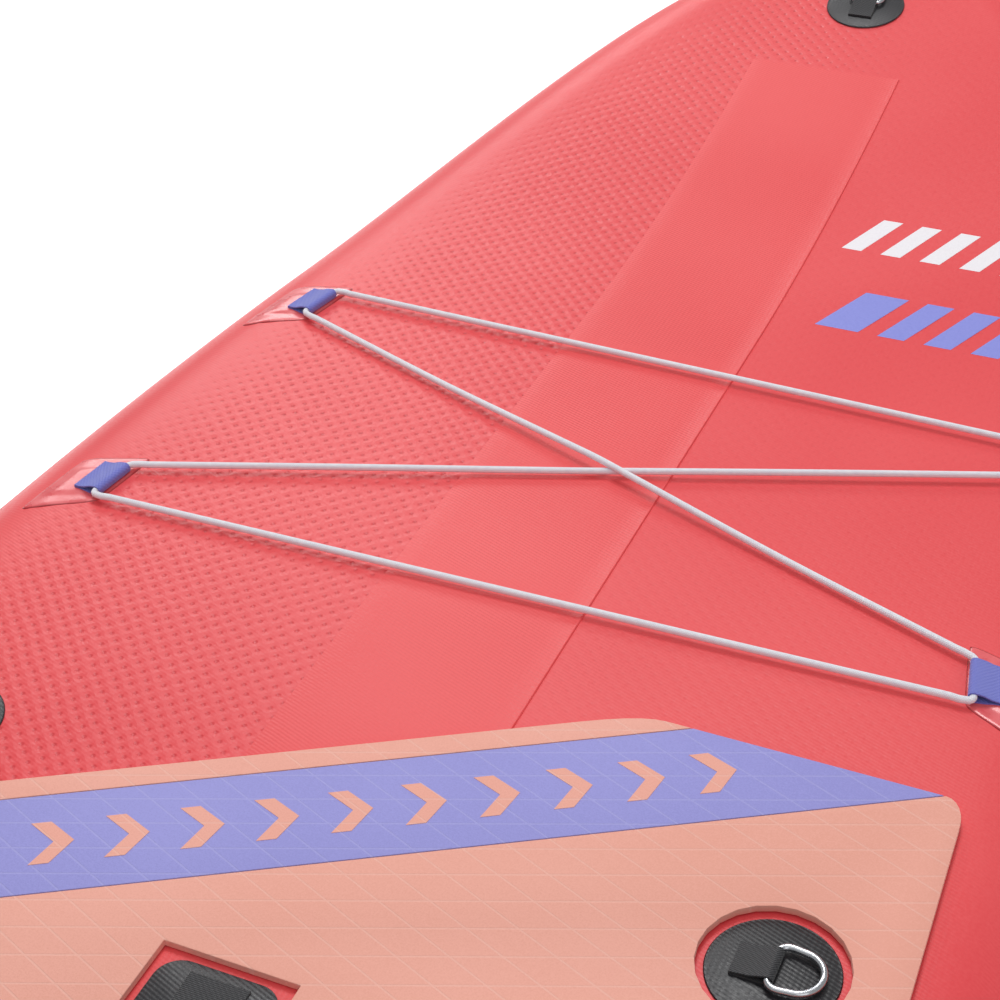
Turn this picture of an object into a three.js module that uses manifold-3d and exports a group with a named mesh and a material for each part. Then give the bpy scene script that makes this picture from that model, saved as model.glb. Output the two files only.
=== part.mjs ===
// Inflatable stand-up paddle board, deck up, with its bungee luggage net.
// Millimetres. X points to the right rail, Y to the nose, Z up. The origin is below the
// middle of the board, level with the tip of the centre fin.
import * as THREE from 'three';
import Module from 'manifold-3d';
import { mergeVertices } from 'three/addons/utils/BufferGeometryUtils.js';

const wasm = await Module();
wasm.setup();

// ---- driving dimensions ----
const LENGTH = 3200;
const WIDTH = 864;
const THICKNESS = 150;
const SKIN = 1.2; // PVC coated layer
const GAP = 0.3; // between pieces that touch
const MID_Z = 290; // middle of the inflated body above the fin tip
const NOSE_ROCKER = 110; // rise of the nose tip
const ROCKER_START = 900;

const RAIL_R = THICKNESS / 2; // the rails are half round
const CORE_R = RAIL_R - SKIN - GAP;
const FLAT_HALF = WIDTH / 2 - RAIL_R; // half width of the flat deck
const FLAT_TIP = LENGTH / 2 - RAIL_R; // flat deck's end from the middle
const DECK_Z = MID_Z + RAIL_R;
const HULL_Z = MID_Z - RAIL_R;
const NOSE_POWER = 2.2; // how full the outline is towards the nose
const TAIL_POWER = 2.7;

const STATIONS = 16; // along half of the outline
const ARC_STEPS = 8; // round a rail, from deck to hull

// ---- finishes ----
const finish = (color, roughness, metalness = 0) => ({ color, roughness, metalness });
const CORAL = finish(0xe8646a, 0.5);
const CORAL_DARK = finish(0xd24f57, 0.5);
const FABRIC_WHITE = finish(0xe9e6e2, 0.8);
const LILAC_WEBBING = finish(0x6e74c4, 0.7);
const CLEAR_PVC = finish(0xf08a8c, 0.2);
const PEACH_FOAM = finish(0xeaa592, 0.85);
const LILAC_FOAM = finish(0x9a96d6, 0.85);
const CORD_WHITE = finish(0xe4e4f2, 0.7);
const BLACK_PVC = finish(0x222226, 0.5);
const BLACK_WEBBING = finish(0x1c1c20, 0.8);
const BLACK_PLASTIC = finish(0x1a1a1c, 0.4);
const GREY_PLASTIC = finish(0x5a5c62, 0.45);
const STEEL = finish(0xc8cace, 0.25, 1);

const board = new THREE.Group();

// ---- helpers ----
function addPiece(name, geometry, look, parent = board) {
  const mesh = new THREE.Mesh(geometry, new THREE.MeshStandardMaterial(look));
  mesh.name = name;
  parent.add(mesh);
  return mesh;
}

function placed(parent, x, y, z, turnZ = 0, turnX = 0) {
  const group = new THREE.Group();
  group.position.set(x, y, z);
  group.rotation.set(turnX, 0, turnZ);
  parent.add(group);
  return group;
}

// A closed surface through rings of points. Rings that shrink to a line close themselves;
// the others are capped by joining each point to its partner across the ring.
function loft(rings, { capStart = false, capEnd = false, closed = false } = {}) {
  const perRing = rings[0].length;
  const corners = [];
  const quad = (a, b, c, d) => corners.push(a, b, c, a, c, d);
  const last = closed ? rings.length : rings.length - 1;
  for (let i = 0; i < last; i++) {
    const ring = rings[i];
    const next = rings[(i + 1) % rings.length];
    for (let k = 0; k < perRing; k++) {
      const k2 = (k + 1) % perRing;
      quad(ring[k], ring[k2], next[k2], next[k]);
    }
  }
  const cap = (ring, flip) => {
    for (let k = 0; k < perRing / 2 - 1; k++) {
      const across = perRing - 1 - k;
      const points = [ring[k], ring[across], ring[across - 1], ring[k + 1]];
      quad(...(flip ? points.reverse() : points));
    }
  };
  if (capStart) cap(rings[0], false);
  if (capEnd) cap(rings[rings.length - 1], true);
  return cleaned(new THREE.BufferGeometry().setFromPoints(corners));
}

// Merges shared corners, drops slivers and turns the faces outwards.
function cleaned(geometry) {
  geometry.deleteAttribute('normal');
  geometry.deleteAttribute('uv');
  const merged = mergeVertices(geometry, 1e-3);
  const position = merged.getAttribute('position');
  const index = [];
  const old = merged.index.array;
  const a = new THREE.Vector3();
  const b = new THREE.Vector3();
  const c = new THREE.Vector3();
  let volume = 0;
  for (let i = 0; i < old.length; i += 3) {
    const [p, q, r] = [old[i], old[i + 1], old[i + 2]];
    if (p === q || q === r || p === r) continue;
    index.push(p, q, r);
    a.fromBufferAttribute(position, p);
    b.fromBufferAttribute(position, q);
    c.fromBufferAttribute(position, r);
    volume += a.dot(b.cross(c));
  }
  if (volume < 0) index.reverse();
  merged.setIndex(index);
  merged.computeVertexNormals();
  return merged;
}

function toSolid(geometry) {
  const merged = cleaned(geometry.index ? geometry.toNonIndexed() : geometry);
  return new wasm.Manifold(new wasm.Mesh({
    numProp: 3,
    vertProperties: Float32Array.from(merged.getAttribute('position').array),
    triVerts: Uint32Array.from(merged.index.array),
  }));
}

function toGeometry(solid) {
  const mesh = solid.getMesh();
  const geometry = new THREE.BufferGeometry();
  geometry.setAttribute('position', new THREE.BufferAttribute(mesh.vertProperties, 3));
  geometry.setIndex(new THREE.BufferAttribute(mesh.triVerts, 1));
  geometry.computeVertexNormals();
  return geometry;
}

const cut = (geometry, ...tools) =>
  toGeometry(tools.reduce((solid, tool) => solid.subtract(toSolid(tool)), toSolid(geometry)));
const join = (geometry, ...others) =>
  toGeometry(others.reduce((solid, other) => solid.add(toSolid(other)), toSolid(geometry)));

function boxAt(wide, long, tall, x, y, z) {
  return new THREE.BoxGeometry(wide, long, tall).translate(x, y, z);
}

// An upright cylinder standing on z.
function rod(radius, height, x, y, z, sides = 24) {
  return new THREE.CylinderGeometry(radius, radius, height, sides)
    .rotateX(Math.PI / 2).translate(x, y, z + height / 2);
}

function plate(shape, z, thick, curveSegments = 8) {
  return new THREE.ExtrudeGeometry(shape, { depth: thick, bevelEnabled: false, curveSegments })
    .translate(0, 0, z);
}

function roundedRect(wide, long, radius) {
  const shape = new THREE.Shape();
  const [x, y, r] = [wide / 2, long / 2, radius];
  shape.absarc(x - r, y - r, r, 0, Math.PI / 2);
  shape.absarc(-x + r, y - r, r, Math.PI / 2, Math.PI);
  shape.absarc(-x + r, -y + r, r, Math.PI, Math.PI * 1.5);
  shape.absarc(x - r, -y + r, r, Math.PI * 1.5, Math.PI * 2);
  shape.closePath();
  return shape;
}

// A flat strap bent in its own X-Z plane and width across, along Y.
function ribbon(path, thick, width) {
  const rings = path.map((point, i) => {
    const before = path[Math.max(i - 1, 0)];
    const after = path[Math.min(i + 1, path.length - 1)];
    const across = after.clone().sub(before).normalize();
    const side = new THREE.Vector2(-across.y, across.x).multiplyScalar(thick / 2);
    const corner = (s, w) =>
      new THREE.Vector3(point.x + side.x * s, w * width / 2, point.y + side.y * s);
    return [corner(1, 1), corner(1, -1), corner(-1, -1), corner(-1, 1)];
  });
  return loft(rings, { capStart: true, capEnd: true });
}

function arcPath(cx, cz, radius, from, to, steps) {
  return Array.from({ length: steps + 1 }, (_, i) => {
    const angle = from + (to - from) * i / steps;
    return new THREE.Vector2(cx + radius * Math.cos(angle), cz + radius * Math.sin(angle));
  });
}

// ---- the inflated body ----
const smoothRocker = (y) =>
  y > ROCKER_START
    ? NOSE_ROCKER * ((y - ROCKER_START) / (LENGTH / 2 - ROCKER_START)) ** 1.8
    : 0;

// Half of the flat deck's outline, from nose tip to tail tip, with its outward direction.
function outlineAt(turn) {
  const power = turn <= Math.PI / 2 ? NOSE_POWER : TAIL_POWER;
  const cosine = Math.cos(turn);
  const sine = Math.max(Math.sin(turn), 0);
  const x = turn % Math.PI < 1e-9 ? 0 : FLAT_HALF * sine ** (2 / power);
  const y = Math.sign(cosine) * FLAT_TIP * Math.abs(cosine) ** (2 / power);
  const slopeX = (x / FLAT_HALF) ** (power - 1) / FLAT_HALF;
  const slopeY = Math.sign(y) * (Math.abs(y) / FLAT_TIP) ** (power - 1) / FLAT_TIP;
  const size = Math.hypot(slopeX, slopeY);
  return { x, y, nx: slopeX / size, ny: slopeY / size };
}
const outline = Array.from({ length: 2 * STATIONS + 1 }, (_, i) =>
  outlineAt(i === 2 * STATIONS ? Math.PI : Math.PI * i / (2 * STATIONS)));

// The nose's rise, straight between stations so that every layer bends at the same places.
const rockerKnots = [LENGTH / 2, ...outline.map((place) => place.y)];
function rocker(y) {
  if (y < 0) return 0;
  const i = Math.max(1, rockerKnots.findIndex((knot) => knot <= y));
  const [high, low] = [rockerKnots[i - 1], rockerKnots[i]];
  const share = (y - low) / (high - low);
  return smoothRocker(low) + share * (smoothRocker(high) - smoothRocker(low));
}

// The half width of the flat deck at y.
function flatHalfAt(y) {
  const power = y >= 0 ? NOSE_POWER : TAIL_POWER;
  return FLAT_HALF * (1 - (Math.abs(y) / FLAT_TIP) ** power) ** (1 / power);
}

// A point on a rail: angle 0 on the deck's edge, PI on the hull's, side 1 right or -1 left.
function railPoint(place, angle, radius, side, shift = 0) {
  const reach = radius * Math.sin(angle);
  const y = place.y + place.ny * reach;
  const x = side * (place.x + place.nx * reach + shift);
  return new THREE.Vector3(x, y, MID_Z + radius * Math.cos(angle) + rocker(y));
}

const arcAngles = Array.from({ length: ARC_STEPS + 1 }, (_, k) => Math.PI * k / ARC_STEPS);

function bodySolid(radius) {
  const rings = outline.map((place) => {
    const right = arcAngles.map((angle) => railPoint(place, angle, radius, 1));
    const left = arcAngles.map((angle) => railPoint(place, angle, radius, -1)).reverse();
    return [...right, ...left];
  });
  return loft(rings);
}

// A thin panel that follows the rocker and ends at the flat deck's outline.
function flatPanel(low, high) {
  const inset = GAP;
  const rings = outline.map(({ x, y, nx, ny }) => {
    const px = Math.max(x - nx * inset, 0);
    const py = y - ny * inset;
    const z = rocker(py);
    return [
      new THREE.Vector3(px, py, high + z), new THREE.Vector3(-px, py, high + z),
      new THREE.Vector3(-px, py, low + z), new THREE.Vector3(px, py, low + z),
    ];
  });
  return loft(rings);
}

function railBand(side) {
  const rings = outline.map((place) => {
    const outer = arcAngles.map((angle) => railPoint(place, angle, RAIL_R, side, GAP / 2));
    const inner = arcAngles.map((angle) => railPoint(place, angle, CORE_R + GAP, side, GAP / 2));
    return [...outer, ...inner.reverse()];
  });
  return loft(rings, { capStart: true, capEnd: true });
}

// A cover over the joint of the two rail bands, at the nose or the tail.
function tipTape(atNose) {
  const reach = 3; // stations each way from the tip
  const angles = arcAngles.slice(1, ARC_STEPS);
  const rings = [];
  for (let i = -reach; i <= reach; i++) {
    const place = outline[atNose ? Math.abs(i) : 2 * STATIONS - Math.abs(i)];
    const side = i < 0 ? -1 : 1;
    const outer = angles.map((angle) => railPoint(place, angle, RAIL_R + GAP + SKIN, side));
    const inner = angles.map((angle) => railPoint(place, angle, RAIL_R + GAP, side));
    rings.push([...outer, ...inner.reverse()]);
  }
  return loft(rings, { capStart: true, capEnd: true });
}

const STRINGER = { left: -80, right: 65, front: 1330, thick: 0.8 };
function stringer(back, low, high) {
  const knots = rockerKnots.filter((y) => y > ROCKER_START - 100 && y < STRINGER.front);
  const rings = [back, ...knots.reverse(), STRINGER.front].map((y) => {
    const z = rocker(y);
    return [
      new THREE.Vector3(STRINGER.left, y, high + z), new THREE.Vector3(STRINGER.right, y, high + z),
      new THREE.Vector3(STRINGER.right, y, low + z), new THREE.Vector3(STRINGER.left, y, low + z),
    ];
  });
  return loft(rings, { capStart: true, capEnd: true });
}

const VALVE = { x: -88, y: -1440, wellRadius: 21, wellDepth: 54 };
const valveWell = () =>
  rod(VALVE.wellRadius, VALVE.wellDepth + 20, VALVE.x, VALVE.y, DECK_Z - VALVE.wellDepth);

addPiece('drop_stitch_core', cut(bodySolid(CORE_R), valveWell()), FABRIC_WHITE);
addPiece('deck_skin', cut(flatPanel(DECK_Z - SKIN, DECK_Z), valveWell()), CORAL);
addPiece('bottom_skin', flatPanel(HULL_Z, HULL_Z + SKIN), CORAL);
addPiece('rail_band_right', railBand(1), CORAL);
addPiece('rail_band_left', railBand(-1), CORAL);
addPiece('nose_joint_tape', tipTape(true), CORAL_DARK);
addPiece('tail_joint_tape', tipTape(false), CORAL_DARK);
const STRINGER_Z = DECK_Z + GAP;
addPiece('deck_stringer', stringer(-1330, STRINGER_Z, STRINGER_Z + STRINGER.thick), CORAL_DARK);
addPiece('hull_stringer',
  stringer(-900, HULL_Z - GAP - STRINGER.thick, HULL_Z - GAP), CORAL_DARK);

// ---- foam deck pad, glued on in coloured pieces ----
const PAD = {
  thick: 5, front: 434, tail: -1370, side: 5, joint: 0.6,
  slope: 30.7 * Math.PI / 180, // the slanted front edge, measured from straight across
  border: 17, band: 80, // widths of the peach strip at the front and of the lilac band
};
const PAD_Z = DECK_Z + 2 * GAP + STRINGER.thick;
const HANDLE = { gap: 34, reach: 118, patchWide: 76, patchLong: 74 };
const RING_SEATS = [
  { name: 'front_left', x: -274, y: 271, turn: Math.PI },
  { name: 'front_right', x: 274, y: 271, turn: 0 },
  { name: 'rear_left', x: -291, y: -560, turn: Math.PI },
  { name: 'rear_right', x: 291, y: -560, turn: 0 },
];
const RING_PATCH_R = 38;

// The slanted edge passes through this point; other edges are set back from it in parallel.
const slantPoint = new THREE.Vector2(86, 403);
const slantAt = (x, setBack) =>
  slantPoint.y + (x - slantPoint.x) * Math.tan(PAD.slope) - setBack / Math.cos(PAD.slope);
const onFront = (setBack) => new THREE.Vector2(slantPoint.x
  + (PAD.front - slantPoint.y + setBack / Math.cos(PAD.slope)) / Math.tan(PAD.slope), PAD.front);
const sideAt = (y) => flatHalfAt(y) - PAD.side;

function padSide(side, fromY, toY, steps) {
  return Array.from({ length: steps + 1 }, (_, i) => {
    const y = fromY + (toY - fromY) * i / steps;
    return new THREE.Vector2(side * sideAt(y), y);
  });
}
function leftCorner(setBack) {
  let x = -FLAT_HALF;
  for (let i = 0; i < 8; i++) x = -sideAt(slantAt(x, setBack));
  return new THREE.Vector2(x, slantAt(x, setBack));
}

const bluntCorner = new THREE.QuadraticBezierCurve(
  new THREE.Vector2(105, slantAt(105, 0)), onFront(0), new THREE.Vector2(154, PAD.front));
const borderShape = new THREE.Shape([
  leftCorner(0), ...bluntCorner.getPoints(5), onFront(PAD.border - PAD.joint),
  leftCorner(PAD.border - PAD.joint),
]);
const bandBack = PAD.border + PAD.band;
const bandShape = new THREE.Shape([
  leftCorner(PAD.border), onFront(PAD.border), onFront(bandBack), leftCorner(bandBack),
]);
const mainBack = -820;
const mainStart = leftCorner(bandBack + PAD.joint);
const cornerR = 24; // round front corner on the right
const cornerY = PAD.front - cornerR;
const cornerReach = sideAt(cornerY) - onFront(bandBack + PAD.joint).x;
const mainShape = new THREE.Shape([
  mainStart, onFront(bandBack + PAD.joint),
  ...Array.from({ length: 5 }, (_, i) => {
    const angle = Math.PI / 2 * (1 - (i + 1) / 6);
    return new THREE.Vector2(
      sideAt(cornerY) - cornerReach * (1 - Math.cos(angle)), cornerY + cornerR * Math.sin(angle));
  }),
  ...padSide(1, cornerY, mainBack, 8),
  ...padSide(-1, mainBack, mainStart.y, 8).slice(0, -1),
]);
const tailPadShape = new THREE.Shape([
  ...padSide(1, mainBack - 4, PAD.tail, 8), ...padSide(-1, PAD.tail, mainBack - 4, 8),
]);

const padCut = 5; // clear space round what stands in the pad
const ringCuts = RING_SEATS.map((seat) =>
  rod(RING_PATCH_R + padCut, 4 * PAD.thick, seat.x, seat.y, PAD_Z - PAD.thick));
const handleCut = boxAt(HANDLE.patchWide + 2 * padCut,
  2 * (HANDLE.reach + HANDLE.patchLong / 2 + padCut), 4 * PAD.thick, 0, 0, PAD_Z);

const padPlate = (shape) => plate(shape, PAD_Z, PAD.thick, 5);
addPiece('pad_border', padPlate(borderShape), PEACH_FOAM);
addPiece('pad_lilac_band', padPlate(bandShape), LILAC_FOAM);
addPiece('pad_main', cut(padPlate(mainShape), handleCut, ...ringCuts), PEACH_FOAM);
addPiece('pad_tail', padPlate(tailPadShape), LILAC_FOAM);
const KICK = { y: -1335, long: 44, wide: 360, tall: 18 };
const kickSection = new THREE.Shape([
  new THREE.Vector2(-KICK.long / 2, 0), new THREE.Vector2(KICK.long / 2, 0),
  new THREE.Vector2(-KICK.long / 2 + 16, KICK.tall), new THREE.Vector2(-KICK.long / 2 + 4, KICK.tall),
]);
addPiece('kick_bar',
  new THREE.ExtrudeGeometry(kickSection, { depth: KICK.wide, bevelEnabled: false })
    .rotateX(Math.PI / 2).rotateZ(Math.PI / 2)
    .translate(-KICK.wide / 2, KICK.y, PAD_Z + PAD.thick + GAP), PEACH_FOAM);

// ---- bungee net: four welded patches, four webbing loops, one cord ----
const CORD_R = 2.5;
const WEBBING = { thick: 1.1, wide: 35, shown: 21 };
const PATCH = { thick: 0.8, lift: 0.5 };
const patchTop = DECK_Z + PATCH.lift + PATCH.thick;
const CORD_Z = patchTop + GAP + WEBBING.thick + 0.5 + CORD_R;
// x and y of the cord's middle in each loop, turn of the loop's fold from straight ahead,
// and the way inboard.
const LOOPS = [
  { name: 'front_left', x: -292, y: 818, turn: -0.20, inboard: 1 },
  { name: 'rear_left', x: -315, y: 532, turn: -0.13, inboard: 1 },
  { name: 'rear_right', x: 321, y: 545, turn: 0.18, inboard: -1 },
  { name: 'front_right', x: 303, y: 801, turn: 0.20, inboard: -1 },
];

// A point of the body's surface at height above it: flat deck, or wrapped over the rail.
function onDeck(x, y, height) {
  const side = Math.sign(x);
  let place = outlineAt(Math.PI / 2);
  let best = Infinity;
  for (let i = 0; i <= 400; i++) {
    const trial = outlineAt(Math.PI * i / 400);
    const away = Math.hypot(trial.x - Math.abs(x), trial.y - y);
    if (away < best) [best, place] = [away, trial];
  }
  const beyond = (Math.abs(x) - place.x) * place.nx + (y - place.y) * place.ny;
  if (beyond <= 0) return new THREE.Vector3(x, y, DECK_Z + height + rocker(y));
  return railPoint({ ...place, x: Math.abs(x) - beyond * place.nx, y: y - beyond * place.ny },
    beyond / RAIL_R, RAIL_R + height, side);
}

// A patch in a loop's own frame: u runs outboard from the fold, v along the fold.
function weldedPatch(loop) {
  const reach = { inner: -5, outer: 42 };
  const half = { inner: 32, outer: 37 };
  const slant = { start: 7, slope: -0.65 }; // the patch leans back as it runs outboard
  const alongSteps = 9;
  const acrossSteps = 4;
  const layer = (height) => Array.from({ length: alongSteps + 1 }, (_, i) => {
    const t = i / alongSteps;
    const u = reach.inner + (reach.outer - reach.inner) * t;
    const corner = Math.min(1, Math.min(t, 1 - t) * alongSteps); // end rows are drawn in
    const wide = (half.inner + (half.outer - half.inner) * t) * (0.78 + 0.22 * corner);
    return Array.from({ length: acrossSteps + 1 }, (_, k) => {
      const v = wide * (2 * k / acrossSteps - 1) + slant.start + slant.slope * u;
      const cosine = Math.cos(loop.turn);
      const sine = Math.sin(loop.turn);
      const x = loop.x - loop.inboard * u * cosine - v * sine;
      const y = loop.y - loop.inboard * u * sine + v * cosine;
      return onDeck(x, y, height);
    });
  });
  const upper = layer(PATCH.lift + PATCH.thick);
  const lower = layer(PATCH.lift);
  const rings = upper.map((row, i) => [...row, ...lower[i].reverse()]);
  return loft(rings, { capStart: true, capEnd: true });
}

// Webbing folded round the cord; its two layers lie on the patch.
function webbingLoop(inner) {
  const middle = inner + WEBBING.thick / 2;
  const lowZ = -middle;
  const path = [
    new THREE.Vector2(WEBBING.shown, lowZ),
    new THREE.Vector2(WEBBING.shown / 2, lowZ),
    ...arcPath(0, 0, middle, Math.PI * 1.5, Math.PI * 0.42, 10),
    new THREE.Vector2(WEBBING.shown * 0.55, lowZ + WEBBING.thick * 2.9),
    new THREE.Vector2(WEBBING.shown, lowZ + WEBBING.thick + GAP + 0.1),
  ];
  return ribbon(path, WEBBING.thick, WEBBING.wide);
}

const BEND_OUT = 3.4; // how far past the webbing the cord has turned
const CROSSING = { over: 4.7, under: -0.8 }; // one span passes over the other
const SLEEVE = { outer: 3.4, long: 14 };
const sleeveLoop = LOOPS[3];
for (const loop of LOOPS) {
  addPiece(`patch_${loop.name}`, weldedPatch(loop), CLEAR_PVC);
  const inner = loop === sleeveLoop ? SLEEVE.outer + 0.4 : CORD_R + 0.5;
  const group = placed(board, loop.x, loop.y, CORD_Z + (loop === sleeveLoop ? SLEEVE.outer - CORD_R : 0), loop.turn);
  const strap = webbingLoop(inner);
  if (loop.inboard > 0) strap.rotateZ(Math.PI);
  addPiece(`loop_${loop.name}`, strap, LILAC_WEBBING, group);
}
const sleeveGroup = placed(board, sleeveLoop.x, sleeveLoop.y,
  CORD_Z + SLEEVE.outer - CORD_R, sleeveLoop.turn);
const sleeveProfile = [
  [CORD_R + GAP, -SLEEVE.long / 2], [SLEEVE.outer, -SLEEVE.long / 2],
  [SLEEVE.outer, SLEEVE.long / 2], [CORD_R + GAP, SLEEVE.long / 2],
  [CORD_R + GAP, -SLEEVE.long / 2],
].map(([r, z]) => new THREE.Vector2(r, z));
addPiece('cord_sleeve', cleaned(new THREE.LatheGeometry(sleeveProfile, 12)), STEEL, sleeveGroup);

// The cord starts inside the sleeve in the front right loop, goes through each loop once
// and meets itself in the sleeve again.
function cordRoute() {
  // A point on the middle line of a loop's fold, way and distance from its middle.
  const inLoop = (loop, along) => new THREE.Vector3(
    loop.x - along * Math.sin(loop.turn), loop.y + along * Math.cos(loop.turn),
    CORD_Z + (loop === sleeveLoop ? SLEEVE.outer - CORD_R : 0));
  const edge = WEBBING.wide / 2 + 0.6;
  const through = (loop, way) => [edge, edge - 2, 9, -9, 2 - edge, -edge]
    .map((along) => inLoop(loop, way * along));
  // A straight span that turns round the webbing's edge at each end and rises in the middle.
  const span = (from, fromWay, to, toWay, rise) => {
    const start = inLoop(from, fromWay * (edge + BEND_OUT));
    const stop = inLoop(to, toWay * (edge + BEND_OUT));
    start.x += from.inboard * 2.2;
    stop.x += to.inboard * 2.2;
    const between = [0.02, 0.25, 0.44, 0.5, 0.56, 0.75, 0.98].map((t) => {
      const point = start.clone().lerp(stop, t);
      point.z += rise * Math.max(0, 1 - Math.abs(t - 0.5) * 4);
      return point;
    });
    return [start, ...between, stop];
  };
  const [a, b, c, d] = LOOPS;
  return [
    inLoop(d, GAP / 2), inLoop(d, 9), inLoop(d, edge - 2), inLoop(d, edge),
    ...span(d, 1, a, 1, 0), ...through(a, 1),
    ...span(a, -1, c, 1, CROSSING.over), ...through(c, 1),
    ...span(c, -1, b, -1, 0), ...through(b, -1),
    ...span(b, 1, d, -1, CROSSING.under),
    inLoop(d, -edge), inLoop(d, 2 - edge), inLoop(d, -9), inLoop(d, -GAP / 2),
  ];
}
// A round cord through points, never upright, with more rings where it bends.
function cordThrough(route, radius, sides = 8) {
  const curve = new THREE.CatmullRomCurve3(route, false, 'centripetal');
  const shares = [];
  for (let i = 0; i < route.length - 1; i++) {
    const parts = route[i].distanceTo(route[i + 1]) < 3.5 ? 3 : 1;
    for (let k = 0; k < parts; k++) shares.push((i + k / parts) / (route.length - 1));
  }
  shares.push(1);
  const up = new THREE.Vector3(0, 0, 1);
  const rings = shares.map((share) => {
    const centre = curve.getPoint(share);
    const along = curve.getTangent(share);
    const side = along.clone().cross(up).normalize();
    const top = side.clone().cross(along);
    return Array.from({ length: sides }, (_, k) => {
      const angle = 2 * Math.PI * (k + 0.5) / sides;
      return centre.clone().addScaledVector(side, radius * Math.cos(angle))
        .addScaledVector(top, radius * Math.sin(angle));
    });
  });
  return loft(rings, { capStart: true, capEnd: true });
}
addPiece('bungee_cord', cordThrough(cordRoute(), CORD_R), CORD_WHITE);

// ---- carry handle in the middle ----
const handleStrap = { thick: 2, wide: 38 };
const strapZ = DECK_Z + 2 * GAP + STRINGER.thick + 1.2 + GAP + handleStrap.thick / 2;
const handleTopZ = strapZ + HANDLE.gap;
for (const [name, way] of [['front', 1], ['rear', -1]]) {
  addPiece(`handle_patch_${name}`,
    plate(roundedRect(HANDLE.patchWide, HANDLE.patchLong, 16), DECK_Z + 2 * GAP + STRINGER.thick, 1.2, 4)
      .translate(0, way * HANDLE.reach, 0), BLACK_PVC);
}
const GRIP = { long: 124, wide: 46, tall: 18 };
const strapPath = [
  [-HANDLE.reach - 30, strapZ], [-HANDLE.reach, strapZ], [-HANDLE.reach + 12, strapZ + 4],
  [-GRIP.long / 2 - 6, handleTopZ - 5], [-GRIP.long / 2 + 4, handleTopZ],
  [GRIP.long / 2 - 4, handleTopZ], [GRIP.long / 2 + 6, handleTopZ - 5],
  [HANDLE.reach - 12, strapZ + 4], [HANDLE.reach, strapZ], [HANDLE.reach + 30, strapZ],
].map(([y, z]) => new THREE.Vector2(y, z));
addPiece('handle_strap',
  ribbon(strapPath, handleStrap.thick, handleStrap.wide).rotateZ(Math.PI / 2), BLACK_WEBBING);
const gripBody = new THREE.ExtrudeGeometry(roundedRect(GRIP.wide, GRIP.tall, 8),
  { depth: GRIP.long, bevelEnabled: false, curveSegments: 4 })
  .rotateX(Math.PI / 2).translate(0, GRIP.long / 2, handleTopZ);
const gripSlot = boxAt(handleStrap.wide + 1, GRIP.long + 10, handleStrap.thick + 0.8, 0, 0, handleTopZ);
const gripMouth = (way) => boxAt(handleStrap.wide + 1, 12, 8, 0, way * GRIP.long / 2, handleTopZ - 2);
addPiece('handle_grip', cut(gripBody, gripSlot, gripMouth(1), gripMouth(-1)), BLACK_WEBBING);

// ---- steel rings on patches ----
const RING = { wire: 2.2, inside: 26, long: 24 };
function ringSeat(name, x, y, z, turnZ, tilt = 0) {
  const group = placed(board, x, y, z, turnZ, tilt);
  addPiece(`ring_patch_${name}`,
    new THREE.CylinderGeometry(RING_PATCH_R, RING_PATCH_R, SKIN, 28)
      .rotateX(Math.PI / 2).translate(0, 0, SKIN / 2 + GAP), BLACK_PVC, group);
  const tabThick = 1.2;
  const barZ = SKIN + 2 * GAP + tabThick + GAP + RING.wire;
  const middle = RING.wire + GAP + tabThick / 2;
  const tabPath = [
    new THREE.Vector2(-22, -middle), new THREE.Vector2(-11, -middle),
    ...arcPath(0, 0, middle, -Math.PI / 2, Math.PI * 0.58, 8),
    new THREE.Vector2(-11, -middle + 2.8), new THREE.Vector2(-22, -middle + tabThick + GAP),
  ];
  addPiece(`ring_tab_${name}`, ribbon(tabPath, tabThick, RING.inside - 3)
    .translate(0, 0, barZ), BLACK_WEBBING, group);
  // straight bar in the tab, round bow away from it
  const halfBar = RING.inside / 2 + RING.wire;
  const bow = arcPath(RING.long - halfBar + 4, 0, halfBar, -Math.PI / 2, Math.PI / 2, 8);
  const path = [
    new THREE.Vector2(0, -halfBar + 3), ...[-0.5, 0, 0.5].map((t) => new THREE.Vector2(0, t * halfBar)),
    new THREE.Vector2(0, halfBar - 3), new THREE.Vector2(3, halfBar), ...bow.reverse(),
    new THREE.Vector2(3, -halfBar),
  ];
  addPiece(`ring_${name}`, wireLoop(path, RING.wire).translate(0, 0, barZ), STEEL, group);
}

// A closed round wire through points of the X-Y plane.
function wireLoop(path, radius, sides = 8) {
  const count = path.length;
  const rings = path.map((point, i) => {
    const along = path[(i + 1) % count].clone().sub(path[(i + count - 1) % count]).normalize();
    return Array.from({ length: sides }, (_, k) => {
      const angle = 2 * Math.PI * k / sides;
      const reach = radius * Math.cos(angle);
      return new THREE.Vector3(point.x + along.y * reach, point.y - along.x * reach,
        radius * Math.sin(angle));
    });
  });
  return loft(rings, { closed: true });
}

for (const seat of RING_SEATS) ringSeat(seat.name, seat.x, seat.y, DECK_Z, seat.turn);
const noseY = 1440;
const noseTilt = Math.atan((rocker(noseY + 10) - rocker(noseY - 10)) / 20);
ringSeat('nose', 0, noseY, DECK_Z + rocker(noseY) + 0.7, Math.PI / 2, noseTilt);
ringSeat('tail', 12, -1440, DECK_Z, -Math.PI / 2);

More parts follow.
